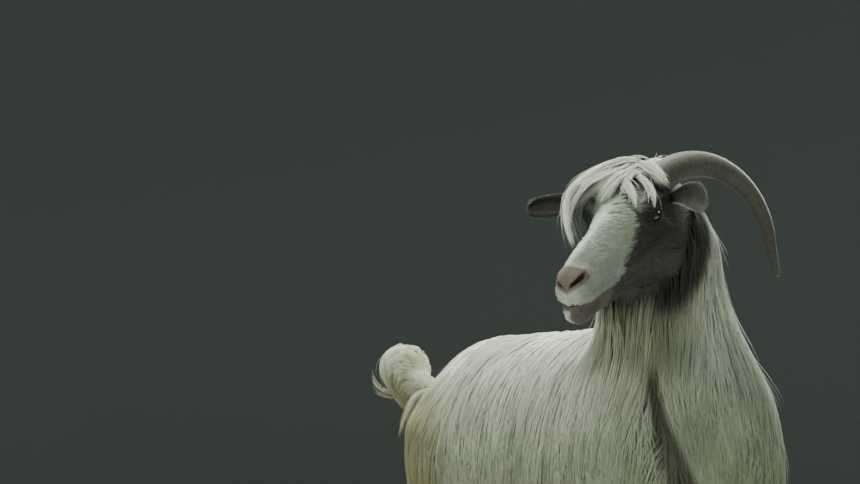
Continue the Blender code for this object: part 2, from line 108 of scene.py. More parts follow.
# Legs, left side: height, middle x and y, half width, half depth, coat depth.
FORELEG = (
    (0.520, 0.100, -0.212, 0.046, 0.084, 0.012),
    (0.430, 0.099, -0.205, 0.044, 0.070, 0.012),
    (0.365, 0.096, -0.202, 0.037, 0.052, 0.010),
    (0.300, 0.092, -0.202, 0.030, 0.036, 0.005),
    (0.250, 0.089, -0.204, 0.026, 0.029, 0.003),
    (0.218, 0.088, -0.206, 0.027, 0.030, 0.003),
    (0.180, 0.088, -0.204, 0.0205, 0.0235, 0.003),
    (0.125, 0.088, -0.201, 0.0185, 0.021, 0.003),
    (0.088, 0.088, -0.201, 0.022, 0.026, 0.003),
    (0.058, 0.088, -0.213, 0.021, 0.023, 0.002),
    (0.036, 0.088, -0.221, 0.0215, 0.0235, 0.002),
)
HIND_LEG = (
    (0.540, 0.088, 0.228, 0.046, 0.100, 0.014),
    (0.440, 0.090, 0.226, 0.046, 0.098, 0.014),
    (0.375, 0.091, 0.252, 0.037, 0.072, 0.012),
    (0.315, 0.090, 0.303, 0.028, 0.046, 0.008),
    (0.268, 0.089, 0.352, 0.0235, 0.034, 0.004),
    (0.235, 0.088, 0.366, 0.0235, 0.031, 0.003),
    (0.195, 0.087, 0.358, 0.0195, 0.025, 0.003),
    (0.130, 0.087, 0.345, 0.018, 0.0215, 0.003),
    (0.090, 0.087, 0.337, 0.022, 0.026, 0.003),
    (0.059, 0.087, 0.323, 0.021, 0.023, 0.002),
    (0.036, 0.087, 0.314, 0.0215, 0.0235, 0.002),
)
# Ovals over shoulder and haunch, left side: middle, half sizes, coat depth.
SHOULDER = ((0.102, -0.235, 0.530), (0.062, 0.100, 0.150), 0.022)
HAUNCH = ((0.078, 0.232, 0.500), (0.058, 0.096, 0.125), 0.018)

# Tail: middle of each section, radius of its coat, coat depth.
TAIL = (
    ((0.0, 0.325, 0.602), 0.038, 0.018),
    ((0.0, 0.378, 0.610), 0.032, 0.016),
    ((0.0, 0.428, 0.620), 0.029, 0.013),
    ((0.0, 0.463, 0.640), 0.032, 0.015),
)
TUFT = ((0.0, 0.490, 0.668), (0.055, 0.056, 0.053), 0.020)

# Head: the way that it faces, and its sections from the occiput to the nose: place, height over and
# under the head's line, half width, pinch of the upper and of the lower half. It has short fur.
HEAD_HEADING, HEAD_DROP, HEAD_TILT = (math.radians(a) for a in (194, 31, 6))
OCCIPUT = np.array((-0.116, -0.352, 0.883))
UP = np.array((0.0, 0.0, 1.0))
AHEAD = np.array((math.cos(HEAD_HEADING), math.sin(HEAD_HEADING), 0))
FACE_FUR = 0.0022
HEAD = (
    (-0.004, 0.020, -0.020, 0.022, 0.0, 0.0),
    (0.006, 0.040, -0.044, 0.044, 0.0, 0.1),
    (0.035, 0.062, -0.074, 0.060, 0.1, 0.2),
    (0.068, 0.070, -0.090, 0.065, 0.1, 0.35),
    (0.100, 0.067, -0.094, 0.066, 0.2, 0.45),
    (0.132, 0.058, -0.086, 0.056, 0.3, 0.45),
    (0.165, 0.049, -0.079, 0.045, 0.3, 0.4),
    (0.198, 0.041, -0.077, 0.037, 0.4, 0.35),
    (0.231, 0.036, -0.073, 0.0320, 0.4, 0.3),
    (0.262, 0.031, -0.069, 0.0285, 0.4, 0.3),
    (0.284, 0.021, -0.064, 0.0235, 0.3, 0.2),
    (0.296, 0.006, -0.055, 0.0155, 0.2, 0.2),
    (0.300, -0.014, -0.034, 0.008, 0.0, 0.0),
)
# Ovals on the head's left side: middle (left, nose-ward, brow-ward), half sizes, and how widely it
# melts into the rest. The cheek bone is a rod: both ends, and the radius at each.
BROW = ((0.040, 0.106, 0.043), (0.014, 0.024, 0.009), 0.016)
JAW_MUSCLE = ((0.040, 0.078, -0.036), (0.021, 0.040, 0.038), 0.020)
CHEEK_BONE = ((0.0500, 0.112, 0.000), (0.034, 0.172, -0.018), 0.0085, 0.006)
NOSE_WING = ((0.0095, 0.278, -0.0010), (0.0130, 0.020, 0.0150), 0.010)
UPPER_LIP = ((0.0130, 0.270, -0.0190), (0.0145, 0.026, 0.0130), 0.010)
CHIN = ((0.000, 0.2765, -0.0500), (0.0190, 0.0255, 0.0130), 0.012)
# Grooves of the head's left side: left, nose-ward and brow-ward place, and radius.
NOSTRIL = (
    (0.0052, 0.2994, -0.0040, 0.0008),
    (0.0104, 0.2968, 0.0002, 0.0022),
    (0.0160, 0.2902, 0.0034, 0.0030),
    (0.0208, 0.2825, 0.0060, 0.0034),
    (0.0226, 0.2750, 0.0088, 0.0022),
)
MOUTH = (
    (0.0000, 0.3005, -0.0300, 0.0016),
    (0.0140, 0.2965, -0.0315, 0.0017),
    (0.0262, 0.2875, -0.0312, 0.0018),
    (0.0320, 0.2660, -0.0322, 0.0018),
    (0.0295, 0.2300, -0.0367, 0.0014),
    (0.0290, 0.2140, -0.0400, 0.0010),
)
CLEFT = ((0.0, 0.3015, -0.0100, 0.0014), (0.0, 0.3015, -0.0290, 0.0012))
EYE_AT, EYE_RADIUS, LID_DEPTH = np.array((0.0470, 0.1165, 0.0265)), 0.0145, 0.0024
# Creases of the upper and the lower lid: radius round the eye, height over the eye where the crease
# starts and is whole, strength.
CREASES = ((0.0165, -0.004, 0.006, 1.0), (0.0150, 0.002, -0.006, 0.6))
CREASE_WIDTH, CREASE_DEPTH = 0.0016, 0.0011
SLIT_HALF_LENGTH, SLIT_HALF_HEIGHT, SLIT_TILT = 0.0122, 0.0050, math.radians(-14)

BODY_PITCH, HEAD_PITCH = ((0.007, 0.0022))
# Parts of the head with a finer surface: two corners of a box in the head's own directions, and pitch.
FINE_PARTS = (
    ((-0.050, 0.232, -0.080), (0.050, 0.314, 0.036), 0.0011),
    ((0.034, 0.088, 0.000), (0.078, 0.146, 0.054), 0.0008),
    ((-0.078, 0.088, 0.000), (-0.034, 0.146, 0.054), 0.0008),
)


def smooth_rows(rows, steps=8):
    """Rows on a Catmull-Rom curve through the given rows, as an array with evenly shared steps."""
    rows = np.array(rows, float)
    padded = np.vstack((rows[:1], rows, rows[-1:]))
    t = np.linspace(0, 1, steps, endpoint=False)[:, None]
    a, b, c, d = (padded[k:len(padded) - 3 + k][:, None, :] for k in range(4))
    square, cube = 2 * a - 5 * b + 4 * c - d, 3 * b - a - 3 * c + d
    curve = 0.5 * (2 * b + (c - a) * t + square * t**2 + cube * t**3)
    return np.vstack((curve.reshape(-1, rows.shape[1]), rows[-1:]))


def ascending(rows):
    """Rows sorted by their first value, ready for interpolation."""
    rows = smooth_rows(rows)
    return rows[np.argsort(rows[:, 0])]


TRUNK_ROWS, NECK_ROWS, HEAD_ROWS = ascending(TRUNK), ascending(NECK), ascending(HEAD)
FORELEG_ROWS, HIND_LEG_ROWS = ascending(FORELEG), ascending(HIND_LEG)


def read_rows(rows, at):
    """Every later column of the rows at the given first values."""
    return [np.interp(at, rows[:, 0], rows[:, k]) for k in range(1, rows.shape[1])]


def past_ends(rows, at, inset=0.0):
    """How far places are past the first or the last row, each drawn in by the inset."""
    return np.maximum(np.maximum(rows[0, 0] + inset - at, at - rows[-1, 0] + inset), 0)


def unit(vectors):
    """The same directions with length 1."""
    return vectors / np.maximum(np.linalg.norm(vectors, axis=-1, keepdims=True), 1e-9)


def step_up(low, high, value):
    """0 below low, 1 above high, and a smooth S between."""
    t = np.clip((value - low) / (high - low), 0, 1)
    return t * t * (3 - 2 * t)


def mix(a, b, share):
    """a where share is 0 and b where it is 1; share is per row."""
    share = np.asarray(share)[..., None]
    return np.asarray(a) * (1 - share) + np.asarray(b) * share


def capped(inside, past):
    """Distance to a form that also ends: the section's own distance and how far past an end it is."""
    return np.hypot(np.maximum(inside, 0), past) + np.minimum(inside, 0)


def oval_distance(offsets, sizes):
    """Near distance to an ellipse or ellipsoid: k (k - 1) / m, where k is the length of the offset over
    the half sizes and m the length of the offset over their squares."""
    scaled = [offset / size for offset, size in zip(offsets, sizes)]
    k = np.sqrt(sum(value**2 for value in scaled))
    m = np.sqrt(sum((value / size) ** 2 for value, size in zip(scaled, sizes)))
    in_the_middle = -(np.minimum(sizes[0], sizes[1]) + 0 * k)
    return np.where(m > 1e-6, k * (k - 1) / np.maximum(m, 1e-6), in_the_middle)


def oval_round(p, middle, sizes):
    """Distance from places to an ellipsoid about a middle."""
    return oval_distance(tuple(p[:, k] - middle[k] for k in range(3)), sizes)


def melt(a, b, width):
    """The nearer of two distances, rounded where they are within a width of each other."""
    close = np.maximum(width - np.abs(a - b), 0) / width
    return np.minimum(a, b) - close * close * width / 4


def head_axes():
    """Left, nose-ward and brow-ward directions of the head, as rows."""
    left = np.cross(UP, AHEAD)
    nose = AHEAD * math.cos(HEAD_DROP) - UP * math.sin(HEAD_DROP)
    brow = AHEAD * math.sin(HEAD_DROP) + UP * math.cos(HEAD_DROP)
    tilt_cos, tilt_sin = math.cos(HEAD_TILT), math.sin(HEAD_TILT)
    return np.array((left * tilt_cos - brow * tilt_sin, nose, brow * tilt_cos + left * tilt_sin))


HEAD_AXES = head_axes()


def to_head(points):
    """Body frame to (left, nose-ward, brow-ward) of the occiput."""
    return (points - OCCIPUT) @ HEAD_AXES.T


def from_head(points):
    """The way back from to_head."""
    return np.asarray(points, float) @ HEAD_AXES + OCCIPUT


def fold_halves(p):
    """Both sides as the left one, by the distance from the middle plane."""
    return np.column_stack((np.abs(p[:, 0]), p[:, 1], p[:, 2]))


def bare(size, depth, skin):
    """A half size of the coat, less the coat's depth where the skin is asked for."""
    return np.maximum(size - depth * skin, 0.35 * size)


def trunk_distance(p, skin):
    """Sections across y, of two half ellipses that meet where the section is widest."""
    back, belly, hem, half_width, depth = read_rows(TRUNK_ROWS, p[:, 1])
    top = back - BACK_DEPTH_SHARE * depth * skin
    foot = belly if skin else hem
    middle = hem + WIDEST_AT * (back - hem)
    up = p[:, 2] - middle
    height = np.where(up > 0, np.maximum(top - middle, 0.004), np.maximum(middle - foot, 0.004))
    fullness = 1 + (0.0 if skin else HEM_FULLNESS) * np.clip(-up / height, 0, 1) ** 1.5
    fullness = fullness - RUMP_SLOPE * np.clip(up / height, 0, 1) ** 1.3 * step_up(0.08, 0.26, p[:, 1])
    inside = oval_distance((p[:, 0], up), (bare(half_width, depth, skin) * fullness, height))
    return capped(inside, past_ends(TRUNK_ROWS, p[:, 1], END_INSET * skin))


def neck_distance(p, skin):
    """Level sections of an ellipse whose depth points the way the throat faces."""
    x, y, half_width, half_depth, heading, depth = read_rows(NECK_ROWS, p[:, 2])
    turn = np.radians(heading)
    dx, dy = p[:, 0] - x, p[:, 1] - y
    deep, wide = dx * np.cos(turn) + dy * np.sin(turn), dy * np.cos(turn) - dx * np.sin(turn)
    inside = oval_distance((wide, deep), (bare(half_width, depth, skin), bare(half_depth, depth, skin)))
    return capped(inside, past_ends(NECK_ROWS, p[:, 2]))


def leg_distance(p, rows, skin):
    """Level sections of an ellipse, the same on both sides of the body."""
    x, y, half_width, half_depth, depth = read_rows(rows, p[:, 2])
    sizes = bare(half_width, depth, skin), bare(half_depth, depth, skin)
    inside = oval_distance((np.abs(p[:, 0]) - x, p[:, 1] - y), sizes)
    return capped(inside, past_ends(rows, p[:, 2]))


def coated_oval(p, oval, skin):
    """An ellipsoid whose half sizes are less by the coat's depth where the skin is asked for."""
    middle, sizes, depth = oval
    return oval_round(p, middle, [size - depth * skin for size in sizes])


def rod_distance(p, start, end, start_radius, end_radius):
    """A straight rod with round ends whose radius runs from one value to another."""
    start, end = np.asarray(start, float), np.asarray(end, float)
    line = end - start
    share = np.clip((p - start) @ line / (line @ line), 0, 1)
    radius = start_radius + (end_radius - start_radius) * share
    return np.linalg.norm(p - start - share[:, None] * line, axis=1) - radius


def groove_distance(side, rows):
    """Distance to a row of rods, given by place and radius."""
    found = None
    for near, far in zip(rows, rows[1:]):
        rod = rod_distance(side, near[:3], far[:3], near[3], far[3])
        found = rod if found is None else np.minimum(found, rod)
    return found


def tail_distance(p, skin):
    """Rods through the tail's sections, and the ball of long hair at its end."""
    found = None
    for (start, first, depth), (end, last, next_depth) in zip(TAIL, TAIL[1:]):
        rod = rod_distance(p, start, end, first - depth * skin, last - next_depth * skin)
        found = rod if found is None else melt(found, rod, 0.01)
    return melt(found, coated_oval(p, TUFT, skin), 0.012)


def head_loft_distance(q):
    """Sections across the head's line, of two pinched half ellipses."""
    top, foot, half_width, pinch_top, pinch_foot = read_rows(HEAD_ROWS, q[:, 1])
    middle = (top + foot) / 2
    half_height = (top - foot) / 2 - FACE_FUR
    up = q[:, 2] - middle
    pinch = np.where(up > 0, pinch_top, pinch_foot)
    width = (half_width - FACE_FUR) * (1 - pinch * np.clip(np.abs(up) / half_height, 0, 1) ** 1.5)
    inside = oval_distance((q[:, 0], up), (np.maximum(width, 0.004), np.maximum(half_height, 0.004)))
    return capped(inside, past_ends(HEAD_ROWS, q[:, 1]))


def with_lids(found, side):
    """The lids' ball melted on, a crease over and under it, and the slit between them: a lens of two
    arcs, cut in down to the eye."""
    found = melt(found, oval_round(side, EYE_AT, np.full(3, EYE_RADIUS + LID_DEPTH)), 0.012)
    eye_nose, eye_brow = side[:, 1] - EYE_AT[1], side[:, 2] - EYE_AT[2]
    front = step_up(EYE_AT[0], EYE_AT[0] + 0.008, side[:, 0])
    ring = np.hypot(eye_nose, eye_brow * 1.15)
    crease = 0
    for radius, start, whole, strength in CREASES:
        hollow = np.exp(-(((ring - radius) / CREASE_WIDTH) ** 2))
        crease = crease + strength * hollow * step_up(start, whole, eye_brow)
    found = found + CREASE_DEPTH * crease * front
    tilt_nose = eye_nose * math.cos(SLIT_TILT) + eye_brow * math.sin(SLIT_TILT)
    tilt_brow = eye_brow * math.cos(SLIT_TILT) - eye_nose * math.sin(SLIT_TILT) + 0.0012
    arc = (SLIT_HALF_LENGTH**2 + SLIT_HALF_HEIGHT**2) / (2 * SLIT_HALF_HEIGHT)
    slit = np.hypot(tilt_nose, np.abs(tilt_brow) + arc - SLIT_HALF_HEIGHT) - arc
    slit = np.maximum(slit, EYE_AT[0] + 0.003 - side[:, 0])
    return -melt(-found, slit, 0.0022)


def head_distance(q):
    """The head's loft with brows, jaw muscles, cheek bones, lips and lids melted on, and the nostrils
    and the mouth cut in."""
    side = fold_halves(q)
    found = head_loft_distance(q)
    for middle, sizes, width in (BROW, JAW_MUSCLE):
        found = melt(found, oval_round(side, middle, sizes), width)
    found = melt(found, rod_distance(side, *CHEEK_BONE), 0.020)
    for middle, sizes, width in (NOSE_WING, UPPER_LIP, CHIN):
        found = melt(found, oval_round(side, middle, sizes), width)
    found = with_lids(found, side)
    found = -melt(-found, groove_distance(side, NOSTRIL), 0.0030)
    mouth = np.minimum(groove_distance(side, MOUTH), groove_distance(side, CLEFT))
    return -melt(-found, mouth, 0.0030)


def body_forms(p, skin):
    """Distances to each form of the body: trunk with shoulders, haunch, neck, forelegs, hind legs and
    tail."""
    left = fold_halves(p)
    return (
        melt(trunk_distance(p, skin), coated_oval(left, SHOULDER, skin), 0.03),
        coated_oval(left, HAUNCH, skin),
        neck_distance(p, skin),
        leg_distance(p, FORELEG_ROWS, skin),
        leg_distance(p, HIND_LEG_ROWS, skin),
        tail_distance(p, skin),
    )


def body_distance(p, skin):
    """All forms of the body run together; skin is 1 for the skin and 0 for the coat's outline."""
    trunk, haunch, neck, foreleg, hind_leg, tail = body_forms(p, skin)
    found = melt(melt(trunk, haunch, 0.04), neck, 0.05)
    found = melt(melt(found, foreleg, 0.03), hind_leg, 0.04)
    return melt(found, tail, 0.015)


def skin_distance(p):
    """The body's skin run together with the head."""
    return melt(body_distance(p, 1), head_distance(to_head(p)), 0.02)


def coat_distance(p):
    """The outline of the long coat, with the head's own skin where the head is."""
    return melt(body_distance(p, 0), head_loft_distance(to_head(p)), 0.02)


def slope(distance, p, reach):
    """Unit gradient of a distance, by central differences."""
    found = np.empty_like(p)
    for axis in range(3):
        shift = np.zeros(3)
        shift[axis] = reach
        found[:, axis] = distance(p + shift) - distance(p - shift)
    return unit(found)


# ---------------------------------------------------------------------------------------------------
# The skin's surface
# ---------------------------------------------------------------------------------------------------


NEAR_SURFACE = 2.2  # coarse cells from the surface within which the fine ones are worked out
MOST_AT_ONCE = 400000  # places whose distance is worked out together
MOST_SETTLED = 0.0008  # that a point moves in one round
SLOPE_REACH = 0.0006


def surface_net(values, low, pitch):
    """Points and quads of the zero surface of a grid: one point in each crossed cell, at the mean of
    the crossings on its edges, and one quad round each crossed grid edge, facing outwards."""
    inside = values < 0
    corners = np.array([(i, j, k) for i in (0, 1) for j in (0, 1) for k in (0, 1)])
    shape = np.array(values.shape) - 1
    counts = sum(
        inside[i:i + shape[0], j:j + shape[1], k:k + shape[2]].astype(np.int8) for i, j, k in corners
    )
    cells = np.argwhere((counts > 0) & (counts < 8))
    at = values[tuple((cells[:, None, :] + corners).transpose(2, 0, 1))]
    total, hits = np.zeros((len(cells), 3)), np.zeros(len(cells))
    for a in range(8):
        for b in range(a + 1, 8):
            if np.abs(corners[a] - corners[b]).sum() != 1:
                continue
            crossed = (at[:, a] < 0) != (at[:, b] < 0)
            share = at[:, a] / np.where(crossed, at[:, a] - at[:, b], 1)
            crossing = corners[a] + share[:, None] * (corners[b] - corners[a])
            total += np.where(crossed[:, None], crossing, 0)
            hits += crossed
    points = low + (cells + total / hits[:, None]) * pitch
    number = np.full(shape, -1)
    number[tuple(cells.T)] = np.arange(len(cells))
    quads = []
    for axis in range(3):
        one, two = (axis + 1) % 3, (axis + 2) % 3
        here = [slice(1, -1)] * 3
        there = [slice(1, -1)] * 3
        here[axis], there[axis] = slice(0, -1), slice(1, None)
        start = np.array([0 if k == axis else 1 for k in range(3)])
        leaving = inside[tuple(here)] & ~inside[tuple(there)]
        entering = ~inside[tuple(here)] & inside[tuple(there)]
        for crossed, turn in ((leaving, 1), (entering, -1)):
            edge = np.argwhere(crossed) + start
            ring = []
            for back_one, back_two in ((1, 1), (0, 1), (0, 0), (1, 0))[::turn]:
                cell = edge.copy()
                cell[:, one] -= back_one
                cell[:, two] -= back_two
                ring.append(number[tuple(cell.T)])
            quads.append(np.column_stack(ring))
    return points, np.vstack(quads)


def grid_surface(distance, low, high, pitch, coarse=4):
    """The zero surface of a distance in a box. A coarse grid finds where it runs, and only the fine
    cells near it are worked out."""
    low, high = np.asarray(low, float), np.asarray(high, float)
    size = (np.ceil((high - low) / (pitch * coarse)).astype(int) + 1) * coarse + 1
    index = [np.arange(n) for n in size]
    rough = np.stack(np.meshgrid(*(i[::coarse] for i in index), indexing="ij"), -1).reshape(-1, 3)
    rough_values = distance(low + rough * pitch)
    values = rough_values.reshape([len(i[::coarse]) for i in index])
    for axis in range(3):
        values = np.repeat(values, coarse, axis)
    values = np.roll(values, (-(coarse // 2),) * 3, (0, 1, 2))[:size[0], :size[1], :size[2]].copy()
    fine = np.argwhere(np.abs(values) < NEAR_SURFACE * coarse * pitch)
    for part in np.array_split(fine, max(1, len(fine) // MOST_AT_ONCE)):
        values[tuple(part.T)] = distance(low + part * pitch)
    return surface_net(values, low, pitch)


def settle(points, distance, rounds):
    """Moves points onto the zero surface along its slope."""
    for _ in range(rounds):
        off = np.clip(distance(points), -MOST_SETTLED, MOST_SETTLED)
        points = points - slope(distance, points, SLOPE_REACH) * off[:, None]
    return points


def keep_faces(points, faces, kept):
    """The faces whose points are all kept, with only the points that they use."""
    faces = faces[kept[faces].all(1)]
    used, faces = np.unique(faces, return_inverse=True)
    return points[used], faces.reshape(-1, 4)


def joined(parts):
    """Points and faces of several parts as one."""
    starts = np.cumsum([0] + [len(points) for points, _ in parts])
    faces = [faces + start for (_, faces), start in zip(parts, starts)]
    return np.vstack([points for points, _ in parts]), np.vstack(faces)


HEAD_LOW, HEAD_HIGH = np.array((-0.075, -0.020, -0.112)), np.array((0.075, 0.312, 0.085))
SEAM_AT = 0.042  # along the slant where the head's fine surface takes over under the coat
SEAM_LAP = 0.006
BODY_LOW, BODY_HIGH = (-0.19, -0.46, 0.035), (0.19, 0.57, 0.93)
FINE_EDGE, FINE_SUNK = 0.0016, 0.0005  # the strip round a finer part, and how deep it is sunk


def head_side(points):
    """How far a point is past the seam, nose-ward and over the throat."""
    q = to_head(points)
    return q[:, 1] * 0.80 + (q[:, 2] + 0.055) * 0.60 - SEAM_AT


def body_surface():
    """The body's surface up to the seam with the head."""
    points, faces = grid_surface(skin_distance, BODY_LOW, BODY_HIGH, BODY_PITCH)
    points, faces = keep_faces(points, faces, head_side(points) < SEAM_LAP)
    return settle(points, skin_distance, 1), faces


def within(points, low, high, margin):
    """Which points lie in a box, by more than a margin."""
    return (points > np.array(low) + margin).all(1) & (points < np.array(high) - margin).all(1)


def head_surface():
    """The head's surface at one pitch, with muzzle and eyes at a finer one. Each finer part laps a
    little under its surroundings. Returns points and faces."""
    def distance(q):
        return skin_distance(from_head(q))

    points, faces = grid_surface(distance, HEAD_LOW, HEAD_HIGH, HEAD_PITCH)
    kept = within(points, HEAD_LOW, HEAD_HIGH, 0.002) & (head_side(from_head(points)) > -SEAM_LAP)
    covered = np.zeros(len(points), bool)
    for low, high, _ in FINE_PARTS:
        covered |= within(points, low, high, HEAD_PITCH)
    faces = faces[~covered[faces].all(1)]
    points, faces = keep_faces(from_head(points), faces, kept)
    found = [(settle(points, skin_distance, 2), faces)]
    for low, high, pitch in FINE_PARTS:
        pitch = pitch
        spare = np.full(3, 2 * pitch)
        points, faces = grid_surface(distance, np.array(low) - spare, np.array(high) + spare, pitch)
        edge = ~within(points, low, high, FINE_EDGE)
        marked = np.column_stack((from_head(points), edge))
        marked, faces = keep_faces(marked, faces, within(points, low, high, 0.0))
        points = settle(marked[:, :3], skin_distance, 3)
        sunk = FINE_SUNK * marked[:, 3:]
        found.append((points - slope(skin_distance, points, SLOPE_REACH) * sunk, faces))
    return joined(found)


# ---------------------------------------------------------------------------------------------------
# Ears, eyes, horns and claws
# ---------------------------------------------------------------------------------------------------


def carried(rings):
    """Points and faces of a closed tube through rings of points, (rings, points, 3). Each end closes on
    its ring's middle, which gives triangles written as quads with one corner twice."""
    count, sides = rings.shape[:2]
    points = np.vstack((rings.reshape(-1, 3), rings[0].mean(0), rings[-1].mean(0)))
    near = np.arange(count * sides).reshape(count, sides)
    after = np.roll(near, -1, 1)
    walls = np.stack((near[:-1], after[:-1], after[1:], near[1:]), -1).reshape(-1, 4)
    first, last = np.full(sides, count * sides), np.full(sides, count * sides + 1)
    start = np.column_stack((first, after[0], near[0], near[0]))
    end = np.column_stack((last, near[-1], after[-1], after[-1]))
    return points, np.vstack((walls, start, end))


def outward_faces(points, faces):
    """The faces, turned round if the closed surface that they make is inside out."""
    a, b, c, d = (points[faces[:, k]] for k in range(4))
    volume = (np.cross(a, b) * c).sum() + (np.cross(a, c) * d).sum()
    return faces if volume > 0 else faces[:, ::-1]


EAR_ROOT = np.array((0.0536, 0.0610, 0.0277))
EAR_LENGTH, EAR_WIDTH, EAR_THICKNESS = 0.1300, 0.0430, 0.0036
# How light each ear's colour is: the right ear is painted in shade at about a fifth of the left's.
EAR_PAINTED_SHADE = {1: 0.95, -1: 0.20}
EAR_STATIONS, EAR_LANES = 44, 17
# Of the left and the right ear, which are held each in its own way: turned forward, turned to face
# down, drop at the tip, share of the full cup.
EAR_POSES = {
    1: (math.radians(37), math.radians(3), 0.024, 1.08),
    -1: (math.radians(60), math.radians(-34), 0.026, 0.66),
}
# Place along the ear, breadth as a share of the widest, half angle that it is cupped through.
EAR_SECTIONS = np.array((
    (-0.12, 0.36, 1.40),
    (0.00, 0.38, 1.35),
    (0.12, 0.42, 1.28),
    (0.25, 0.54, 1.12),
    (0.40, 0.76, 0.95),
    (0.55, 0.94, 0.80),
    (0.70, 1.00, 0.66),
    (0.82, 0.96, 0.56),
    (0.91, 0.82, 0.50),
    (0.97, 0.56, 0.45),
    (1.00, 0.22, 0.40),
))


def ear_frame(side):
    """Directions along the ear, over its back and across it."""
    out = np.cross(UP, AHEAD) * side
    forward, facing_down = EAR_POSES[side][:2]
    along = out * math.cos(forward) + AHEAD * math.sin(forward)
    back = out * math.sin(forward) - AHEAD * math.cos(forward)
    back = back * math.cos(facing_down) + UP * math.sin(facing_down)
    return along, back, np.cross(along, back)


def ear_leaf(side, share, lane):
    """A leaf whose section at each share of its length is an arc, cupped to the front: points on its
    middle surface and the direction over its back. lane runs from -1 to 1 across it."""
    along, back, across = ear_frame(side)
    rows = smooth_rows(EAR_SECTIONS)
    breadth, cup = (np.interp(share, rows[:, 0], rows[:, k])[..., None] for k in (1, 2))
    droop, cupping = EAR_POSES[side][2:]
    cup = cup * cupping
    turn = lane[..., None] * cup
    half = EAR_WIDTH / 2 * breadth
    ripple = 0.0016 * np.sin(9 * lane + 7 * share)[..., None] * lane[..., None] ** 2
    middle = from_head(EAR_ROOT * (side, 1, 1)) + along * EAR_LENGTH * share[..., None]
    middle = middle - np.array((0, 0, droop)) * np.maximum(share[..., None], 0) ** 1.6
    over = back * np.cos(turn) + across * np.sin(turn)
    lift = half * (np.cos(turn) - np.cos(cup)) / np.sin(cup) + ripple
    return middle + across * half * np.sin(turn) / np.sin(cup) + back * lift, over


def ear_lanes():
    """Places across the ear, closer to the edges."""
    return np.sin(np.linspace(-np.pi / 2, np.pi / 2, EAR_LANES))


def ear_surface(side):
    """The leaf with a thickness that thins to the edges, closed at root and tip."""
    share = EAR_SECTIONS[0, 0] + (1 - EAR_SECTIONS[0, 0]) * np.linspace(0, 1, EAR_STATIONS) ** 0.85
    share, lane = np.meshgrid(share, ear_lanes(), indexing="ij")
    points, over = ear_leaf(side, share, lane)
    thick = EAR_THICKNESS / 2 * (1 - 0.4 * share[..., None]) * np.sqrt(1.04 - lane[..., None] ** 2)
    rings = np.concatenate((points + over * thick, (points - over * thick)[:, ::-1]), 1)
    points, faces = carried(rings)
    return points, outward_faces(points, faces)


HORN_ROOT = np.array((0.030, 0.046, 0.050))
HORN_SPLAY, HORN_RADIUS, HORN_SQUASH = math.radians(36), 0.112, 1.18
HORN_FIRST, HORN_LAST = math.radians(128), math.radians(-15)
HORN_BURIED = 0.16  # share of the arc that runs on into the skull
HORN_HALF_DEPTH, HORN_HALF_WIDTH, HORN_TIP_SHARE = 0.0235, 0.0185, 0.26
HORN_RIDGES, HORN_STATIONS = 30, 260
HORN_FLARE_FROM = 0.84  # share of the arc from which the tip turns out
RIDGE_HEIGHT, RING_HEIGHT = 0.017, 0.006  # as shares of the section


def circle(sides):
    """Angles round a section."""
    return np.linspace(0, 2 * np.pi, sides, endpoint=False)[None, :]


def horn_surface(side):
    """An oval section carried along an elliptic arc that leans out. It narrows to a blunt tip, and
    growth ridges, strongest in front and near the root, swell it in rounded steps. Returns its rings
    with how far each point is to the tip, and how light it is: lighter on its ridges, with painted
    light on its front and painted shade on its rear side."""
    out = np.cross(UP, AHEAD) * side
    away = unit(-AHEAD * math.cos(HORN_SPLAY) + out * math.sin(HORN_SPLAY))
    beside = np.cross(UP, away)
    share = np.linspace(-HORN_BURIED, 1, HORN_STATIONS)[:, None]
    turn = HORN_FIRST + (HORN_LAST - HORN_FIRST) * share
    middle = from_head(HORN_ROOT * (side, 1, 1)) + HORN_RADIUS * (
        away * (np.cos(turn) - math.cos(HORN_FIRST))
        + UP * HORN_SQUASH * (np.sin(turn) - math.sin(HORN_FIRST))
    )
    flare = (np.maximum(share - HORN_FLARE_FROM, 0) / (1 - HORN_FLARE_FROM)) ** 1.6
    middle = middle + (out * 0.010 - AHEAD * 0.004) * flare
    along = unit(away * np.sin(turn) - UP * HORN_SQUASH * np.cos(turn))
    outer = np.cross(along, beside)
    grown = np.clip(share, 0, 1)
    thin = 1 - (1 - HORN_TIP_SHARE) * grown**1.15
    end = np.clip((1 - share) / 0.022, 0, 1)
    thin = thin * np.sqrt(1 - (1 - end) ** 2 * 0.97)
    angle = circle(32)
    wander = 0.35 * np.sin(3 * angle + 5 * share) + 0.2 * np.sin(2 * angle - 11 * share)
    phase = HORN_RIDGES * grown**0.85 + 0.16 * wander
    ridge = 1 - np.abs(2 * (phase % 1) - 1) ** 2.2
    strength = RIDGE_HEIGHT * (1 - grown) ** 0.7 * (0.65 + 0.35 * np.sin(angle)) + RING_HEIGHT
    fine = RING_HEIGHT * np.sin(2 * np.pi * phase * 5.3 + 2 * wander)
    swell = 1 + strength * (ridge - 0.5) + fine * (1 - 0.5 * grown)
    keel = 1 - 0.16 * np.clip(np.sin(angle), 0, 1) ** 3 + 0.05 * np.cos(2 * angle)
    wide = HORN_HALF_WIDTH * thin * swell * keel * np.cos(angle)
    deep = HORN_HALF_DEPTH * thin * swell * np.sin(angle)
    rings = middle[:, None] + beside * wide[..., None] + outer[:, None] * deep[..., None]
    # Painted light on the horn's front and painted shade on its rear side, by the angle round the
    # section.
    tone = np.broadcast_to(ridge, wide.shape) * 0.15 + 0.36
    tone = tone + 0.42 * np.broadcast_to(np.sin(angle), wide.shape)
    return rings, np.broadcast_to(grown, wide.shape), tone


HOOF_TOP = 0.046
FOOT_AT, DEWCLAW_HEIGHT, DEWCLAW_STEP, DEWCLAW_RADIUS = 0.088, 0.078, 0.0115, 0.0058
CLAW_WIDTH, CLAW_LENGTH, CLAW_SPLIT, CLAW_TOE_IN, CLAW_RAKE = 0.0225, 0.047, 0.0016, 0.45, 0.014


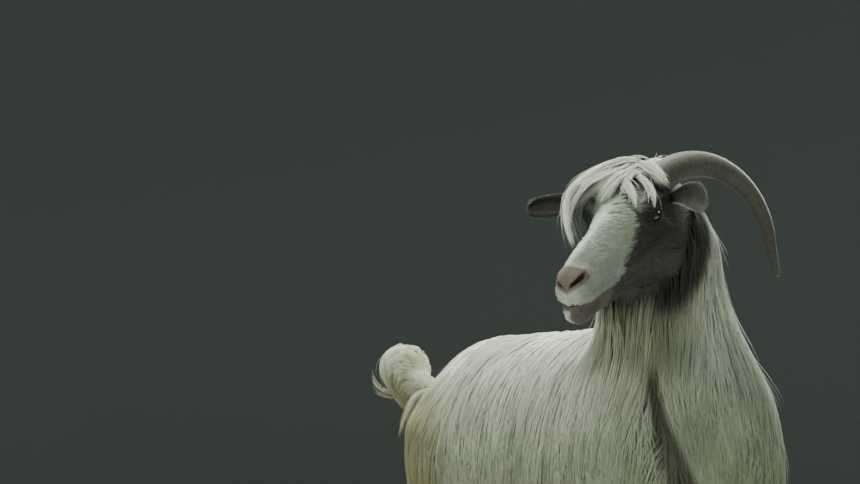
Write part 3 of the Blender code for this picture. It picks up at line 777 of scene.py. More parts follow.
def claw_surface(centre, outward):
    """The solids' D-shaped sole carried up to the coronet: a rounded lower edge, a wall that leans
    back with shallow growth rings, and a domed top under the hair."""
    rise = np.concatenate((np.linspace(0, 1, 26), (1.0, 1.0)))[:, None]
    shrink = 1 - 0.16 * rise**1.2 - 0.10 * (1 - np.clip(rise / 0.05, 0, 1)) ** 2
    shrink = shrink + 0.008 * np.sin(2 * np.pi * rise * 6)
    shrink[-2:, 0] = (0.62, 0.30)
    turn = circle(36)
    toeward = -np.sin(turn)
    narrowing = 1 - CLAW_TOE_IN * np.maximum(0, toeward) ** 2
    x = CLAW_SPLIT + CLAW_WIDTH / 2 * (1 + np.cos(turn) * shrink * 0.99) * narrowing
    y = rise * CLAW_RAKE - toeward * CLAW_LENGTH / 2 * shrink
    z = HOOF_TOP * rise + 0 * x
    z[-1] += 0.002
    return np.stack((centre[0] + outward * x, centre[1] + y, z), -1)


def dewclaw_surface(at):
    """A small blunt cone that points down and back, behind the fetlock."""
    rise, turn = np.linspace(0, 1, 7)[:, None], circle(12)
    radius = DEWCLAW_RADIUS * np.sqrt(np.clip(1 - rise**2.2, 0.02, 1))
    middle = np.array(at) + np.array((0, 0.42, -0.91)) * (rise[..., None] * 0.020 - 0.006)
    offset = radius * np.cos(turn), 0.9 * radius * np.sin(turn), 0.42 * radius * np.sin(turn)
    return middle + np.stack(offset, -1)


def eye_ball(side):
    """A sphere about the direction that the eye looks, with a slightly raised clear front, and its
    offsets along the nose and the brow as shares of its radius."""
    polar, turn = np.linspace(0.002, np.pi - 0.002, 72)[:, None], circle(72)
    bulge = 1 + 0.045 * np.exp(-((polar / 0.55) ** 2))
    nose = np.sin(polar) * np.cos(turn)
    brow = np.sin(polar) * np.sin(turn)
    left = np.cos(polar) * side + 0 * turn
    local = np.stack((left, nose, brow), -1) * (EYE_RADIUS - 0.0003) * bulge[..., None]
    return from_head(local + EYE_AT * (side, 1, 1)), nose, brow


# ---------------------------------------------------------------------------------------------------
# Markings, the same for skin and coat
# ---------------------------------------------------------------------------------------------------

CREAM, STRAW = (0.82, 0.85, 0.69), (0.33, 0.30, 0.145)
DARK, BROWN = (0.052, 0.049, 0.044), (0.082, 0.073, 0.064)
# The darkest colour serves the lids' own dark skin and, in the nostrils, painted shadow. The chest's
# parting colour is partly painted shadow.
PARTING_DARK_AND_SHADOW, PAD_SHADE, RIM_SHADE = (0.085, 0.070, 0.052), (0.240, 0.190, 0.152), (0.012, 0.009, 0.008)
# The upper lip's lower edge and the mouth's groove are painted shade; the lower lip's colour is its own.
LIP_SHADE, UPPER_LIP_PAINTED_SHADE, MOUTH_PAINTED_SHADE = (0.17, 0.15, 0.125), (0.36, 0.37, 0.31), (0.05, 0.034, 0.030)
# What a part's colour gains in red, green and blue, as shares of them. Low on the body and on the
# blaze's sides this is painted shade, on the nape painted light.
LOW_PAINTED_SHADE, TAIL_TINT = (-0.33, -0.30, -0.37), (0.06, 0.06, -0.05)
BLAZE_PAINTED_SHADE, NAPE_PAINTED_LIGHT = (-0.41, -0.37, -0.39), (0.07, 0.12, 0.12)
# Middle and size of a straw patch under the throat, partly the hair's own colour and partly painted
# shade under the jaw.
THROAT_PATCH_AT, THROAT_PATCH_SIZE = (-0.125, -0.305, 0.690), 0.052
# Lower edge of the blaze: place along the head, height above the head's line.
BLAZE_EDGE = np.array((
    (0.000, 0.056), (0.030, 0.060), (0.060, 0.062), (0.091, 0.061), (0.118, 0.054), (0.132, 0.0436),
    (0.145, 0.0208), (0.176, -0.001), (0.191, -0.013), (0.205, -0.030), (0.229, -0.0362),
    (0.284, -0.0312), (0.31, -0.030),
))
# Dark parting on the chest: height, place, half width.
STREAK = np.array((
    (0.400, -0.108, -0.388, 0.024),
    (0.460, -0.118, -0.383, 0.021),
    (0.504, -0.128, -0.370, 0.017),
    (0.533, -0.131, -0.361, 0.014),
    (0.578, -0.131, -0.349, 0.010),
    (0.640, -0.132, -0.336, 0.005),
))
PARTING_WAY = np.array((0.62, -0.78))  # level, across the parting to the animal's left


def blended_corners(cell, t):
    """Each corner of the lattice cells that places are in, with its share when values are blended
    between all eight: along each axis t at the far corners and 1 - t at the near ones."""
    for step in np.ndindex(2, 2, 2):
        shares = [t[:, axis] if step[axis] else 1 - t[:, axis] for axis in range(3)]
        yield cell + step, shares[0] * shares[1] * shares[2]


def cloud(p, size, seed):
    """Smooth noise from 0 to 1 with lumps of a size: scrambled values on a lattice, blended between."""
    at = p / size + 1000.0
    cell = np.floor(at).astype(np.int64)
    t = at - cell
    total = np.zeros(len(p))
    for corner, share in blended_corners(cell, t * t * (3 - 2 * t)):
        code = corner[:, 0] * 73856093 ^ corner[:, 1] * 19349663 ^ corner[:, 2] * 83492791
        code = ((code ^ (seed * 7919)) * 1274126177) & 0x7FFFFFFF
        code = ((code ^ (code >> 13)) * 1103515245) & 0x7FFFFFFF
        total += share * (((code >> 8) & 0xFFFF) / 65535)
    return total


def streak_offset(p):
    """How far round the chest a place is from the parting, left of it counted up, and how strong the
    parting is there."""
    x, y, half_width = read_rows(STREAK, p[:, 2])
    dx, dy = p[:, 0] - x, p[:, 1] - y
    beside = dx * PARTING_WAY[0] + dy * PARTING_WAY[1]
    outward = dx * PARTING_WAY[1] - dy * PARTING_WAY[0]
    strength = step_up(0.645, 0.60, p[:, 2]) * step_up(0.38, 0.45, p[:, 2])
    return beside, half_width, strength * step_up(-0.07, -0.03, outward)


def nose_pad(side):
    """1 on the bare nose between and over the nostrils, 0 on the fur round it."""
    lower = side[:, 2] + 0.0135 - 0.50 * side[:, 0]
    hind = side[:, 1] - 0.2675 - 1.15 * np.maximum(side[:, 2] - 0.010, 0)
    pad = step_up(-0.006, 0.004, lower) * step_up(-0.006, 0.004, hind)
    return pad * step_up(0.034, 0.031, side[:, 0])


def tinted(shade, gain, share):
    """Colours that gain some red, green and blue, in a share from 0 to 1."""
    return shade * (1 + np.array(gain) * share[:, None])


def body_shade(p, patch, grain):
    """Cream in soft clouds, with painted shadow streaks between tresses and painted shade low down.
    Straw on the rump, at the hem, on the shins and under the tail, and under the throat a straw
    patch that is partly painted shade. A thin dark parting on the chest, partly painted shadow."""
    y, z = p[:, 1], p[:, 2]
    shade = np.tile(CREAM, (len(p), 1)) * (0.94 + 0.10 * patch)[:, None]
    shade = tinted(shade, TAIL_TINT, step_up(0.42, 0.46, y))
    # Painted shadow: darker streaks between the tresses, on the sides below the back.
    tress_shadow = step_up(0.50, 0.80, cloud(p * (1, 1, 0.22), 0.013, 21))
    tress_shadow = tress_shadow * step_up(0.30, 0.60, cloud(p, 0.09, 22))
    shade = shade * (1 - 0.14 * tress_shadow * step_up(0.70, 0.62, z))[:, None]
    # Painted shade: darker and greener towards the bottom of the body, a little on the legs, and more at
    # the chest's front.
    low = step_up(0.70, 0.44, z) * (0.35 + 0.65 * step_up(0.32, 0.42, z))
    shade = tinted(shade, LOW_PAINTED_SHADE, low * (1 + 0.45 * step_up(-0.22, -0.34, y)))
    shade = shade * (0.90 + 0.20 * cloud(p * (1, 1, 0.6), 0.10, 31))[:, None]

    rump = step_up(0.10, 0.30, y) * step_up(0.67, 0.44, z) * step_up(0.22, 0.38, z)
    # Under the throat: straw, partly the hair's own and partly painted shade under the jaw. The other
    # straw patches are stains.
    throat = np.exp(-np.sum((p - THROAT_PATCH_AT) ** 2, 1) / (2 * THROAT_PATCH_SIZE**2))
    hem = step_up(0.42, 0.33, z) * step_up(0.22, 0.30, z)
    tail = step_up(0.36, 0.44, y) * step_up(0.665, 0.62, z)
    shin = step_up(0.26, 0.10, z)
    stain_and_shade = np.maximum.reduce([1.75 * rump, 0.80 * throat, 0.35 * hem, 0.55 * tail, 0.30 * shin])
    stain_and_shade = stain_and_shade * (0.50 + 0.8 * patch)
    shade = mix(shade, STRAW, 0.9 * (1 - np.exp(-2.2 * stain_and_shade)))

    # Along the chest's parting: a dark strip, partly the darker undercoat there and partly painted
    # shadow in the gap.
    beside, half_width, strength = streak_offset(p)
    parting_dark_and_shadow = strength * step_up(1.5, 0.6, np.abs(beside + 0.006 * (grain - 0.5)) / half_width)
    return mix(shade, PARTING_DARK_AND_SHADOW, 0.92 * parting_dark_and_shadow)


def cheek_share(q, patch, grain):
    """1 on cheeks, jaw and upper throat, 0 on the blaze, the neck and the lower throat."""
    edge = np.interp(q[:, 1], BLAZE_EDGE[:, 0], BLAZE_EDGE[:, 1]) + 0.010 * (grain - 0.5)
    behind = -0.018 + 0.92 * np.maximum(-0.040 - q[:, 2], 0) + 0.022 * (patch - 0.5)
    collar = 0.018 * np.exp(-(((q[:, 0] + 0.004) / 0.018) ** 2)) + 0.03 * (patch - 0.5)
    cheek = step_up(0.007, -0.006, q[:, 2] - edge) * step_up(-0.010, 0.010, q[:, 1] - behind)
    return cheek * step_up(-0.160, -0.130, q[:, 2] - collar)


def with_muzzle(shade, q, grain, slim, cheek):
    """The lips, with painted shade along the upper lip's lower edge, the bare nose, painted shadow in
    the nostrils and painted shade in the mouth's groove, and the dark lids, laid over other colours.
    """
    side = fold_halves(q)
    line = np.array(MOUTH[::-1])
    above = q[:, 2] - np.interp(q[:, 1], line[:, 1], line[:, 2])
    # Painted shade along the upper lip's lower edge, over the mouth.
    lip_painted_shade = step_up(0.021, 0.010, above) * step_up(0.300, 0.285, q[:, 1])
    lip_painted_shade = lip_painted_shade * step_up(0.16, 0.22, q[:, 1])
    below = step_up(0.002, -0.003, above) * step_up(0.215, 0.240, q[:, 1]) * slim
    fringe = step_up(0.264, 0.278, q[:, 1]) * step_up(-0.036, -0.042, q[:, 2])
    lip = mix(np.tile(LIP_SHADE, (len(q), 1)), CREAM, fringe * step_up(0.000, -0.006, q[:, 0]))
    shade = mix(shade, UPPER_LIP_PAINTED_SHADE, 0.75 * lip_painted_shade * slim * (1 - cheek))
    shade = mix(shade, lip, below)
    shade = mix(shade, np.array(PAD_SHADE) * (0.85 + 0.3 * grain)[:, None], nose_pad(side) * slim)
    # Painted shadow inside the nostrils' grooves.
    shade = mix(shade, RIM_SHADE, step_up(0.0014, -0.0004, groove_distance(side, NOSTRIL)))
    # Painted shade in the mouth's groove.
    shade = mix(shade, MOUTH_PAINTED_SHADE, 0.9 * step_up(0.0012, -0.0006, groove_distance(side, MOUTH)))
    lids = np.linalg.norm(side - EYE_AT, axis=1)
    return mix(shade, RIM_SHADE, 0.7 * step_up(EYE_RADIUS + 0.007, EYE_RADIUS + 0.001, lids))


def marking(p):
    """Colours at places: the body's, and over them the head's, which is dark below a white blaze that
    runs from the poll to the lips, with painted shade on its sides, and painted light on the nape."""
    q = to_head(p)
    patch, grain = cloud(p, 0.06, 1), cloud(p, 0.014, 2)
    near_head = step_up(0.60, 0.64, p[:, 2]) * step_up(-0.075, -0.050, q[:, 1])
    # Painted shade on the blaze's sides from the brow to the nose, darker away from the ridge of the
    # face.
    blaze = near_head * step_up(0.08, 0.12, q[:, 1]) * step_up(-0.020, 0.035, np.abs(q[:, 0]))
    # Painted light: a lighter, greener nape behind the head, where light falls from the back.
    nape = step_up(0.72, 0.78, p[:, 2]) * step_up(0.00, -0.02, q[:, 1])
    shade = tinted(body_shade(p, patch, grain), BLAZE_PAINTED_SHADE, blaze)
    shade = tinted(shade, NAPE_PAINTED_LIGHT, nape)
    warm = step_up(0.10, 0.20, q[:, 1]) * 0.4 + 0.6 * patch
    dark = mix(np.tile(DARK, (len(p), 1)), BROWN, warm) * (1 + step_up(0.07, 0.0, q[:, 1]))[:, None]
    cheek = cheek_share(q, patch, grain) * near_head
    slim = step_up(0.075, 0.060, np.abs(q[:, 0])) * near_head
    return with_muzzle(mix(shade, dark, cheek), q, grain, slim, cheek)


# ---------------------------------------------------------------------------------------------------
# Materials and meshes
# ---------------------------------------------------------------------------------------------------


def new_material(name, roughness, specular, **sockets):
    """A Principled material whose colour is the mesh's own hue attribute."""
    made = bpy.data.materials.new(name)
    made.use_nodes = True
    nodes, links = made.node_tree.nodes, made.node_tree.links
    shader = nodes["Principled BSDF"]
    hue = nodes.new("ShaderNodeAttribute")
    hue.attribute_name = "hue"
    links.new(hue.outputs["Color"], shader.inputs["Base Color"])
    shader.inputs["Roughness"].default_value = roughness
    shader.inputs["Specular IOR Level"].default_value = specular
    for socket, value in sockets.items():
        shader.inputs[socket.replace("_", " ")].default_value = value
    return made


def with_bump(made, scale, distance, strength, detail):
    """The material with fine noise in the object's own coordinates as bump."""
    nodes, links = made.node_tree.nodes, made.node_tree.links
    place = nodes.new("ShaderNodeTexCoord")
    noise = nodes.new("ShaderNodeTexNoise")
    noise.inputs["Scale"].default_value = scale
    noise.inputs["Detail"].default_value = detail
    bump = nodes.new("ShaderNodeBump")
    bump.inputs["Strength"].default_value = strength
    bump.inputs["Distance"].default_value = distance
    links.new(place.outputs["Object"], noise.inputs["Vector"])
    links.new(noise.outputs["Fac"], bump.inputs["Height"])
    links.new(bump.outputs["Normal"], nodes["Principled BSDF"].inputs["Normal"])
    return made


def new_mesh(name, points, faces):
    """A smooth mesh from arrays, and the point at each of its corners. A face whose third corner comes
    twice running is a triangle."""
    three = faces[:, 2] == faces[:, 3]
    fours, threes = faces[~three], faces[three][:, :3]
    loops = np.concatenate((fours.reshape(-1), threes.reshape(-1))).astype(np.int32)
    quads, tris = len(fours), len(threes)
    starts = np.concatenate((np.arange(quads) * 4, quads * 4 + np.arange(tris) * 3)).astype(np.int32)
    mesh = bpy.data.meshes.new(name)
    mesh.vertices.add(len(points))
    mesh.vertices.foreach_set("co", points.astype(np.float32).ravel())
    mesh.loops.add(len(loops))
    mesh.loops.foreach_set("vertex_index", loops)
    mesh.polygons.add(quads + tris)
    mesh.polygons.foreach_set("loop_start", starts)
    mesh.polygons.foreach_set("use_smooth", np.full(quads + tris, True))
    mesh.update(calc_edges=True)
    mesh.validate()
    return mesh, loops


def new_piece(name, points, faces, hue, material, facing=None):
    """A piece in the animal's own frame, with one colour and, where given, one normal for each point.
    Returns it and the point at each of its mesh's corners."""
    mesh, loops = new_mesh(name, points + TO_FRAME, faces)
    colours = mesh.attributes.new("hue", "FLOAT_COLOR", "POINT")
    full = np.column_stack((np.clip(hue, 0, 1), np.ones(len(points)))).astype(np.float32)
    colours.data.foreach_set("color", full.ravel())
    if facing is not None:
        normals = mesh.attributes.new("custom_normal", "FLOAT_VECTOR", "POINT")
        normals.data.foreach_set("vector", facing.astype(np.float32).ravel())
    mesh.materials.append(material)
    piece = bpy.data.objects.new(name, mesh)
    bpy.context.scene.collection.objects.link(piece)
    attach(piece, "root")
    return piece, loops


def with_ends(hue):
    """Colours of rings, and for the points that close both ends those of the first and last point."""
    hue = hue.reshape(-1, 3)
    return np.vstack((hue, hue[:1], hue[-1:]))


skin_look = with_bump(new_material("skin_with_short_fur", 0.80, 0.15), 1400, 0.0006, 0.7, 3)
coat_look = new_material("coat", 0.62, 0.35)
horn_look = with_bump(new_material("horn", 0.48, 0.4), 260, 0.0007, 0.8, 5)
hoof_look = with_bump(new_material("hoof", 0.5, 0.4), 420, 0.0005, 0.6, 3)
eye_look = new_material("eye", 0.10, 0.45, Coat_Weight=0.5, Coat_Roughness=0.05)

# ---------------------------------------------------------------------------------------------------
# One skin
# ---------------------------------------------------------------------------------------------------

# The ears' colours. The lighter edge is partly the edge hair's own colour and partly painted rim light.
EAR_SHADE, EAR_RIM, EAR_LINING = (0.112, 0.106, 0.096), (0.38, 0.37, 0.33), (0.080, 0.073, 0.066)


def ear_hue(points, side):
    """Grey-brown, lighter along the edge, partly as painted rim light, bare and pinker inside. The right
    ear is darkened as painted shade.
    """
    lane = ear_lanes()
    lane = np.concatenate((lane, lane[::-1]))
    lining = np.repeat((0.0, 1.0), EAR_LANES)
    share = np.linspace(0, 1, EAR_STATIONS)[:, None]
    rim = np.clip(np.maximum(np.abs(lane)[None, :] ** 24, (share - 0.96) * 20), 0, 1)
    hue = mix(np.tile(EAR_SHADE, (*rim.shape, 1)), EAR_LINING, 0.6 * lining[None, :] * (1 - rim))
    hue = with_ends(mix(hue, EAR_RIM, 0.8 * rim))
    # The right ear painted darker as painted shade.
    return hue * (0.8 + 0.4 * cloud(points, 0.01, 5))[:, None] * EAR_PAINTED_SHADE[side]


def add_skin():
    """Head, body and both ears as one piece."""
    ears = [ear_surface(side) for side, _ in SIDES]
    hue = [marking(head_points), marking(body_points)]
    hue += [ear_hue(points, side) for (points, _), (side, _) in zip(ears, SIDES)]
    points, faces = joined([(head_points, head_faces), (body_points, body_faces), *ears])
    skin, _ = new_piece("skin", points, faces, np.vstack(hue), skin_look)
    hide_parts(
        "trunk", "neck", "head", "tail",
        "leg_fore_left", "leg_fore_right", "leg_hind_left", "leg_hind_right", "ear_left", "ear_right",
    )


head_points, head_faces = head_surface()
body_points, body_faces = body_surface()
add_skin()

# ---------------------------------------------------------------------------------------------------
# Coat
# ---------------------------------------------------------------------------------------------------

FIELD_LOW, FIELD_PITCH = np.array((-0.30, -0.56, 0.00)), 0.009
FIELD_SIZE = np.ceil((0.60, 1.20, 1.06) / np.array(FIELD_PITCH)).astype(int)
HAIR_SHARE = 1.0
LOCK_SHARE = 1.5
SHIN_STRANDS, HEAD_STRANDS, FRINGE_STRANDS = (int(n * HAIR_SHARE) for n in (3200, 19000, 700))
SHIN_WIDTH, FORELOCK_WIDTH, WISP_WIDTH, FRINGE_WIDTH = 0.0026, 0.0012, 0.0013, 0.0006
LIGHTEST = 0.95  # of any colour of hair
SPARSEST = 1e-9  # weight of a face that grows no hair
SKIN_CLEARANCE, MOST_PUSHED = 0.0015, 0.02  # of a strand from the skin, and how far it is put right
LOCK_SWING, LOCK_WAVELENGTH = 0.0030, 0.095
STRAY = 0.006  # how far a loose strand's tip is off its lock


def sampled(distance):
    """A distance and its slope on a lattice round the animal, (x, y, z, 4)."""
    index = np.stack(np.meshgrid(*(np.arange(n) for n in FIELD_SIZE), indexing="ij"), -1).reshape(-1, 3)
    parts = np.array_split(index, 8)
    values = np.concatenate([distance(FIELD_LOW + part * FIELD_PITCH) for part in parts])
    values = values.reshape(FIELD_SIZE)
    return np.stack((values, *np.gradient(values, FIELD_PITCH)), -1).astype(np.float32)


def read_field(field, p):
    """Distance and slope at places, blended between the lattice's points."""
    at = np.clip((p - FIELD_LOW) / FIELD_PITCH, 0, FIELD_SIZE - 1.001)
    cell = at.astype(int)
    found = 0
    for corner, share in blended_corners(cell, at - cell):
        found = found + field[tuple(corner.T)] * share[:, None]
    return found[:, 0], found[:, 1:]


skin_field, coat_field = sampled(skin_distance), sampled(coat_distance)


def off_skin(p):
    """The direction off the skin at places."""
    return unit(read_field(skin_field, p)[1])


def scatter(points, faces, count, weight):
    """Places spread over a surface by area and by a weight for each face."""
    a, b, c, d = (points[faces[:, k]] for k in range(4))
    area = np.linalg.norm(np.cross(c - a, d - b), axis=1) * (weight + SPARSEST)
    pick = rng.choice(len(faces), count, p=area / area.sum())
    s, t = rng.random((2, count))[..., None]
    return (a[pick] * (1 - s) + b[pick] * s) * (1 - t) + (d[pick] * (1 - s) + c[pick] * s) * t


def per_strand(count, spread):
    """One random number for each strand, about 0."""
    return spread * rng.normal(0, 1, count)


def per_lock(lock, spread):
    """One random number for each lock, about 0, given to its strands."""
    return spread * rng.normal(0, 1, lock.max() + 1)[lock]


def laid(way, outward, hug=1.0):
    """A way less its part off the skin, which hug is a share of."""
    return unit(way - outward * (way * outward).sum(1)[:, None] * hug)


def fall(p, outward):
    """The way the coat lies: down, a little back, off the midline on the back, apart at the chest's
    parting, along the tail and out from its tip."""
    way = np.zeros_like(p)
    way[:, 2] = -1
    way[:, 1] += 0.10 + 0.25 * step_up(0.5, 0.9, outward[:, 2])
    off = np.where(p[:, 0] < 0, -1.0, 1.0) * np.exp(-np.abs(p[:, 0]) / 0.06)
    way[:, 0] += 0.9 * off * step_up(0.3, 0.9, outward[:, 2]) * step_up(-0.34, -0.10, p[:, 1])
    beside, _, strength = streak_offset(p)
    part = strength * np.where(beside < 0, -1.0, 1.0) * np.exp(-np.abs(beside) / 0.07)
    way[:, :2] += 0.45 * part[:, None] * PARTING_WAY
    tail = step_up(0.36, 0.40, p[:, 1]) * step_up(0.50, 0.56, p[:, 2])
    tuft = step_up(0.44, 0.48, p[:, 1]) * tail
    along = mix(np.tile((0.0, 1.0, 0.15), (len(p), 1)), (-0.40, 0.05, -0.90), tuft)
    return unit(mix(way, along, tail))


def grow(roots, length, layer, joints):
    """Paths, (roots, joints, 3), that set out along the lie of the coat, rise to their layer between
    skin and outline in the first third and stay in it. Past the hem they hang free."""
    at = roots.copy()
    paths = [at]
    last = None
    for joint in range(1, joints):
        share = joint / (joints - 1)
        rise = layer * (0.84 * min(1.0, (share / 0.35) ** 0.8) + 0.16 * share)
        outward = unit(mix(read_field(skin_field, at)[1], read_field(coat_field, at)[1], rise))
        way = laid(fall(at, outward), outward, step_up(-0.55, -0.10, outward[:, 2])[:, None])
        last = way if last is None else unit(0.35 * last + 0.65 * way)
        at = at + last * (length / (joints - 1))[:, None]
        for _ in range(2):
            skin_value, skin_slope = read_field(skin_field, at)
            coat_value, coat_slope = read_field(coat_field, at)
            off = (1 - rise) * skin_value + rise * coat_value
            push = mix(skin_slope, coat_slope, rise)
            push = push / np.maximum((push**2).sum(1), 1)[:, None]
            push = push * np.clip(off, -MOST_PUSHED, MOST_PUSHED)[:, None]
            push[:, 2] *= step_up(0.0, 0.5, outward[:, 2])
            out_of_skin = np.clip(SKIN_CLEARANCE - skin_value, 0, MOST_PUSHED)
            at = at - push + unit(skin_slope) * out_of_skin[:, None]
        paths.append(at)
    return np.stack(paths, 1)


def nearest(places, centres):
    """Index of the nearest centre to each place, worked out for a few thousand places at a time."""
    found = np.empty(len(places), int)
    square = (centres**2).sum(1)
    for start in range(0, len(places), 4000):
        part = places[start:start + 4000]
        found[start:start + 4000] = np.argmin(square - 2 * part @ centres.T, 1)
    return found


def gather(paths, share, pull, keep):
    """Draws paths together towards a chosen few of them, more and more to the tips, so that they make
    locks. Returns them with the number of the lock that each belongs to."""
    count = max(4, int(len(paths) * share))
    leaders = rng.choice(len(paths), count, replace=False)
    lock = nearest(paths[:, 0], paths[leaders, 0])
    lead = paths[leaders][lock]
    aim = lead + (paths[:, :1] - lead[:, :1]) * keep
    t = np.linspace(0, 1, paths.shape[1])[None, :, None]
    amount = np.clip(pull * (0.6 + 0.8 * rng.random(len(paths)))[:, None, None] * t**1.1, 0, 0.95)
    return paths + (aim - paths) * amount, lock


def wave(paths, locks):
    """Bends paths from side to side along their length, alike within one lock."""
    count = locks.max() + 1
    phase, size = rng.random(count) * 2 * np.pi, rng.normal(0, 1, count)
    phase, size = phase[locks][:, None], size[locks][:, None]
    t = np.linspace(0, 1, paths.shape[1])[None, :]
    run = paths[:, -1] - paths[:, 0]
    length = np.linalg.norm(run, axis=1)[:, None]
    across = unit(np.cross(unit(run), read_field(skin_field, paths[:, 0])[1]))
    turn = 2 * np.pi * t * length / LOCK_WAVELENGTH
    swing = LOCK_SWING * size * (np.sin(turn + phase) - np.sin(phase))
    return paths + across[:, None, :] * (swing * t**0.5)[..., None]


SHEEN_SPREAD = 0.15  # how far a strand's shading turns round it
BELLY_SPREAD = 1.4  # what the spread gains where hair hangs under the belly
SHEEN_LEAN = 0.85  # share of the coat's outward direction in a strand's shading
STRAND_FLATNESS = 0.45
# A strand's colour is darkened at the root as painted shade deep in the coat, and lightened at the tip.
ROOT_LEVEL, TIP_LEVEL = 0.95, 1.04  # of a strand's colour


def per_joint(values, joints):
    """Values for each joint of each strand, given as that or as one for each strand."""
    return values if values.ndim == 3 else np.repeat(values[:, None], joints, 1)


def strand_faces(joints):
    """Faces of one prism of three sides that ends in a point and is closed at its root."""
    sides = ((0, 1), (1, 2), (2, 0))
    last, tip = 3 * (joints - 2), 3 * (joints - 1)
    walls = [(k + c, k + 3 + c, k + 3 + d, k + d) for k in range(0, last, 3) for c, d in sides]
    point = [(last + c, tip, last + d, last + d) for c, d in sides]
    return np.array([*walls, *point, (0, 1, 2, 2)])


def strand_mesh(paths, width, outward, spread):
    """Each path as a closed prism of three sides that narrows to a point. Returns points, faces with the
    triangle's third corner given twice, the share of the length at each point, and shading normals
    that lean from the prism's own towards the coat's, as a lock of fine hairs shades."""
    count, joints = paths.shape[:2]
    along = unit(np.gradient(paths, axis=1))
    outward = per_joint(outward, joints)
    across = unit(np.cross(along, outward))
    over = np.cross(across, along)
    lean = unit(mix(over, outward, SHEEN_LEAN))
    t = np.linspace(0, 1, joints)
    taper = (1 - t[:-1] ** 2.2 * 0.8) * (0.75 + 0.25 * np.minimum(t[:-1] / 0.15, 1))
    half = width[:, None] / 2 * taper[None, :]
    corners, facing = [], []
    for angle in (90, 210, 330):
        cos, sin = math.cos(math.radians(angle)), math.sin(math.radians(angle))
        shift = across[:, :-1] * cos + over[:, :-1] * (sin * STRAND_FLATNESS)
        corners.append(paths[:, :-1] + shift * half[..., None])
        own = across[:, :-1] * cos + over[:, :-1] * sin
        facing.append(unit(lean[:, :-1] + np.reshape(spread, (-1, 1, 1)) * own))
    points = np.concatenate((np.stack(corners, 2).reshape(count, -1, 3), paths[:, -1:]), 1)
    facing = np.concatenate((np.stack(facing, 2).reshape(count, -1, 3), lean[:, -1:]), 1)
    faces = strand_faces(joints)[None] + (np.arange(count) * points.shape[1])[:, None, None]
    shares = np.concatenate((np.repeat(t[:-1], 3), (1.0,)))
    return points.reshape(-1, 3), faces.reshape(-1, 4), shares, facing.reshape(-1, 3)


def round_the(roots, axis_point, axis):
    """An unwrap of a part of the skin: the angle about a line through it, and the place along it."""
    axis = unit(np.array(axis, float))
    offset = roots - axis_point
    side = unit(np.cross(axis, (0.0, 0.3, 1.0) if abs(axis[2]) < 0.8 else (0.0, 1.0, 0.0)))
    angle = np.arctan2(offset @ side, offset @ np.cross(axis, side))
    return np.column_stack((angle, offset @ axis))


def add_coat(name, paths, width, outward, hue, unwrap, spread=SHEEN_SPREAD):
    """One piece of coat: its mesh, colours with painted shade at the roots that lighten to the tips,
    and a patch for each strand in the OFBake map, at its root's place on the unwrap. outward and hue
    are for each strand or for each of its joints."""
    points, faces, shares, facing = strand_mesh(paths, width, outward, spread)
    level = ROOT_LEVEL + (TIP_LEVEL - ROOT_LEVEL) * shares**0.6
    hue = per_joint(hue, paths.shape[1])
    hue = np.concatenate((np.repeat(hue[:, :-1], 3, 1), hue[:, -1:]), 1)
    colours = (hue * level[None, :, None]).reshape(-1, 3)
    piece, loops = new_piece(name, points, faces, colours, coat_look, facing)
    low, high = unwrap.min(0), unwrap.max(0)
    spot = 0.002 + 0.992 * (unwrap - low) / (high - low)
    beside = np.append(np.tile((0.0, 0.5, 1.0), paths.shape[1] - 1), 0.0)
    patch = np.column_stack((beside, shares)) * 0.003
    place = (spot[:, None, :] + patch[None]).reshape(-1, 2)
    layer = piece.data.uv_layers.new(name="OFBake")
    layer.data.foreach_set("uv", place[loops].astype(np.float32).ravel())


def lit_side(outward, roots):
    """The outward direction, turned level and away from the midline where hair hangs under the belly,
    so that it shades like the side above it."""
    level = unit(outward * (1, 1, 0) + np.sign(roots[:, :1]) * np.array((0.6, 0, 0)))
    return unit(mix(outward, level, step_up(-0.15, -0.65, outward[:, 2])))


def lengths_and_density(p, outward):
    """Length of the coat and how thickly it grows, by place on the body's skin, and 1 where it gives
    way to the short fur of the shins."""
    y, z = p[:, 1], p[:, 2]
    under = step_up(-0.35, -0.8, outward[:, 2])
    length = 0.125 + 0.025 * step_up(0.10, -0.30, y)
    length = length * (1 - 0.68 * under)
    length = length * (1 - 0.25 * step_up(0.12, 0.22, y))
    leg = step_up(0.46, 0.34, z)
    length = length * (1 - leg) + leg * 0.055
    shin = step_up(0.36, 0.27, z)
    length = length * (1 - shin) + shin * (0.014 + 0.004 * step_up(0.12, 0.07, z))
    tail = step_up(0.375, 0.40, y) * step_up(0.5, 0.56, z)
    length = length * (1 - tail) + tail * (0.045 + 0.025 * step_up(0.43, 0.48, y))
    length = length * (1 - 0.35 * step_up(0.80, 0.88, z))
    return length, 1 + 2.2 * tail - 0.35 * under, shin


HOOF_HAIR_LINE = 0.045  # height where the shins' fur ends


def body_growth():
    """How thickly the long coat and the short fur of the shins grow on each face of the body."""
    middles = body_points[body_faces].mean(1)
    _, thickness, shin = lengths_and_density(middles, off_skin(middles))
    in_sight = head_side(middles) <= -SEAM_LAP
    return thickness * (1 - shin) * in_sight, shin * (middles[:, 2] > HOOF_HAIR_LINE)


LONG_COAT, SHIN_FUR = body_growth()
# In the order of body_forms: name, and a line that the region's OFBake map is wrapped round, as a
# place on it and its direction.
REGIONS = (
    ("trunk", (0.0, 0.0, 0.53), (0, 1, 0)),
    ("thigh", (0.0, 0.25, 0.50), (0, 0.2, 1)),
    ("neck", (-0.05, -0.30, 0.70), (-0.3, -0.3, 1)),
    ("foreleg", (0.0, -0.205, 0.30), (0, 0, 1)),
    ("hind_leg", (0.0, 0.27, 0.30), (0, 0, 1)),
    ("tail", (0.0, 0.38, 0.60), (0, 1, 0.2)),
)
MOST_TRIANGLES = 195000  # of one piece
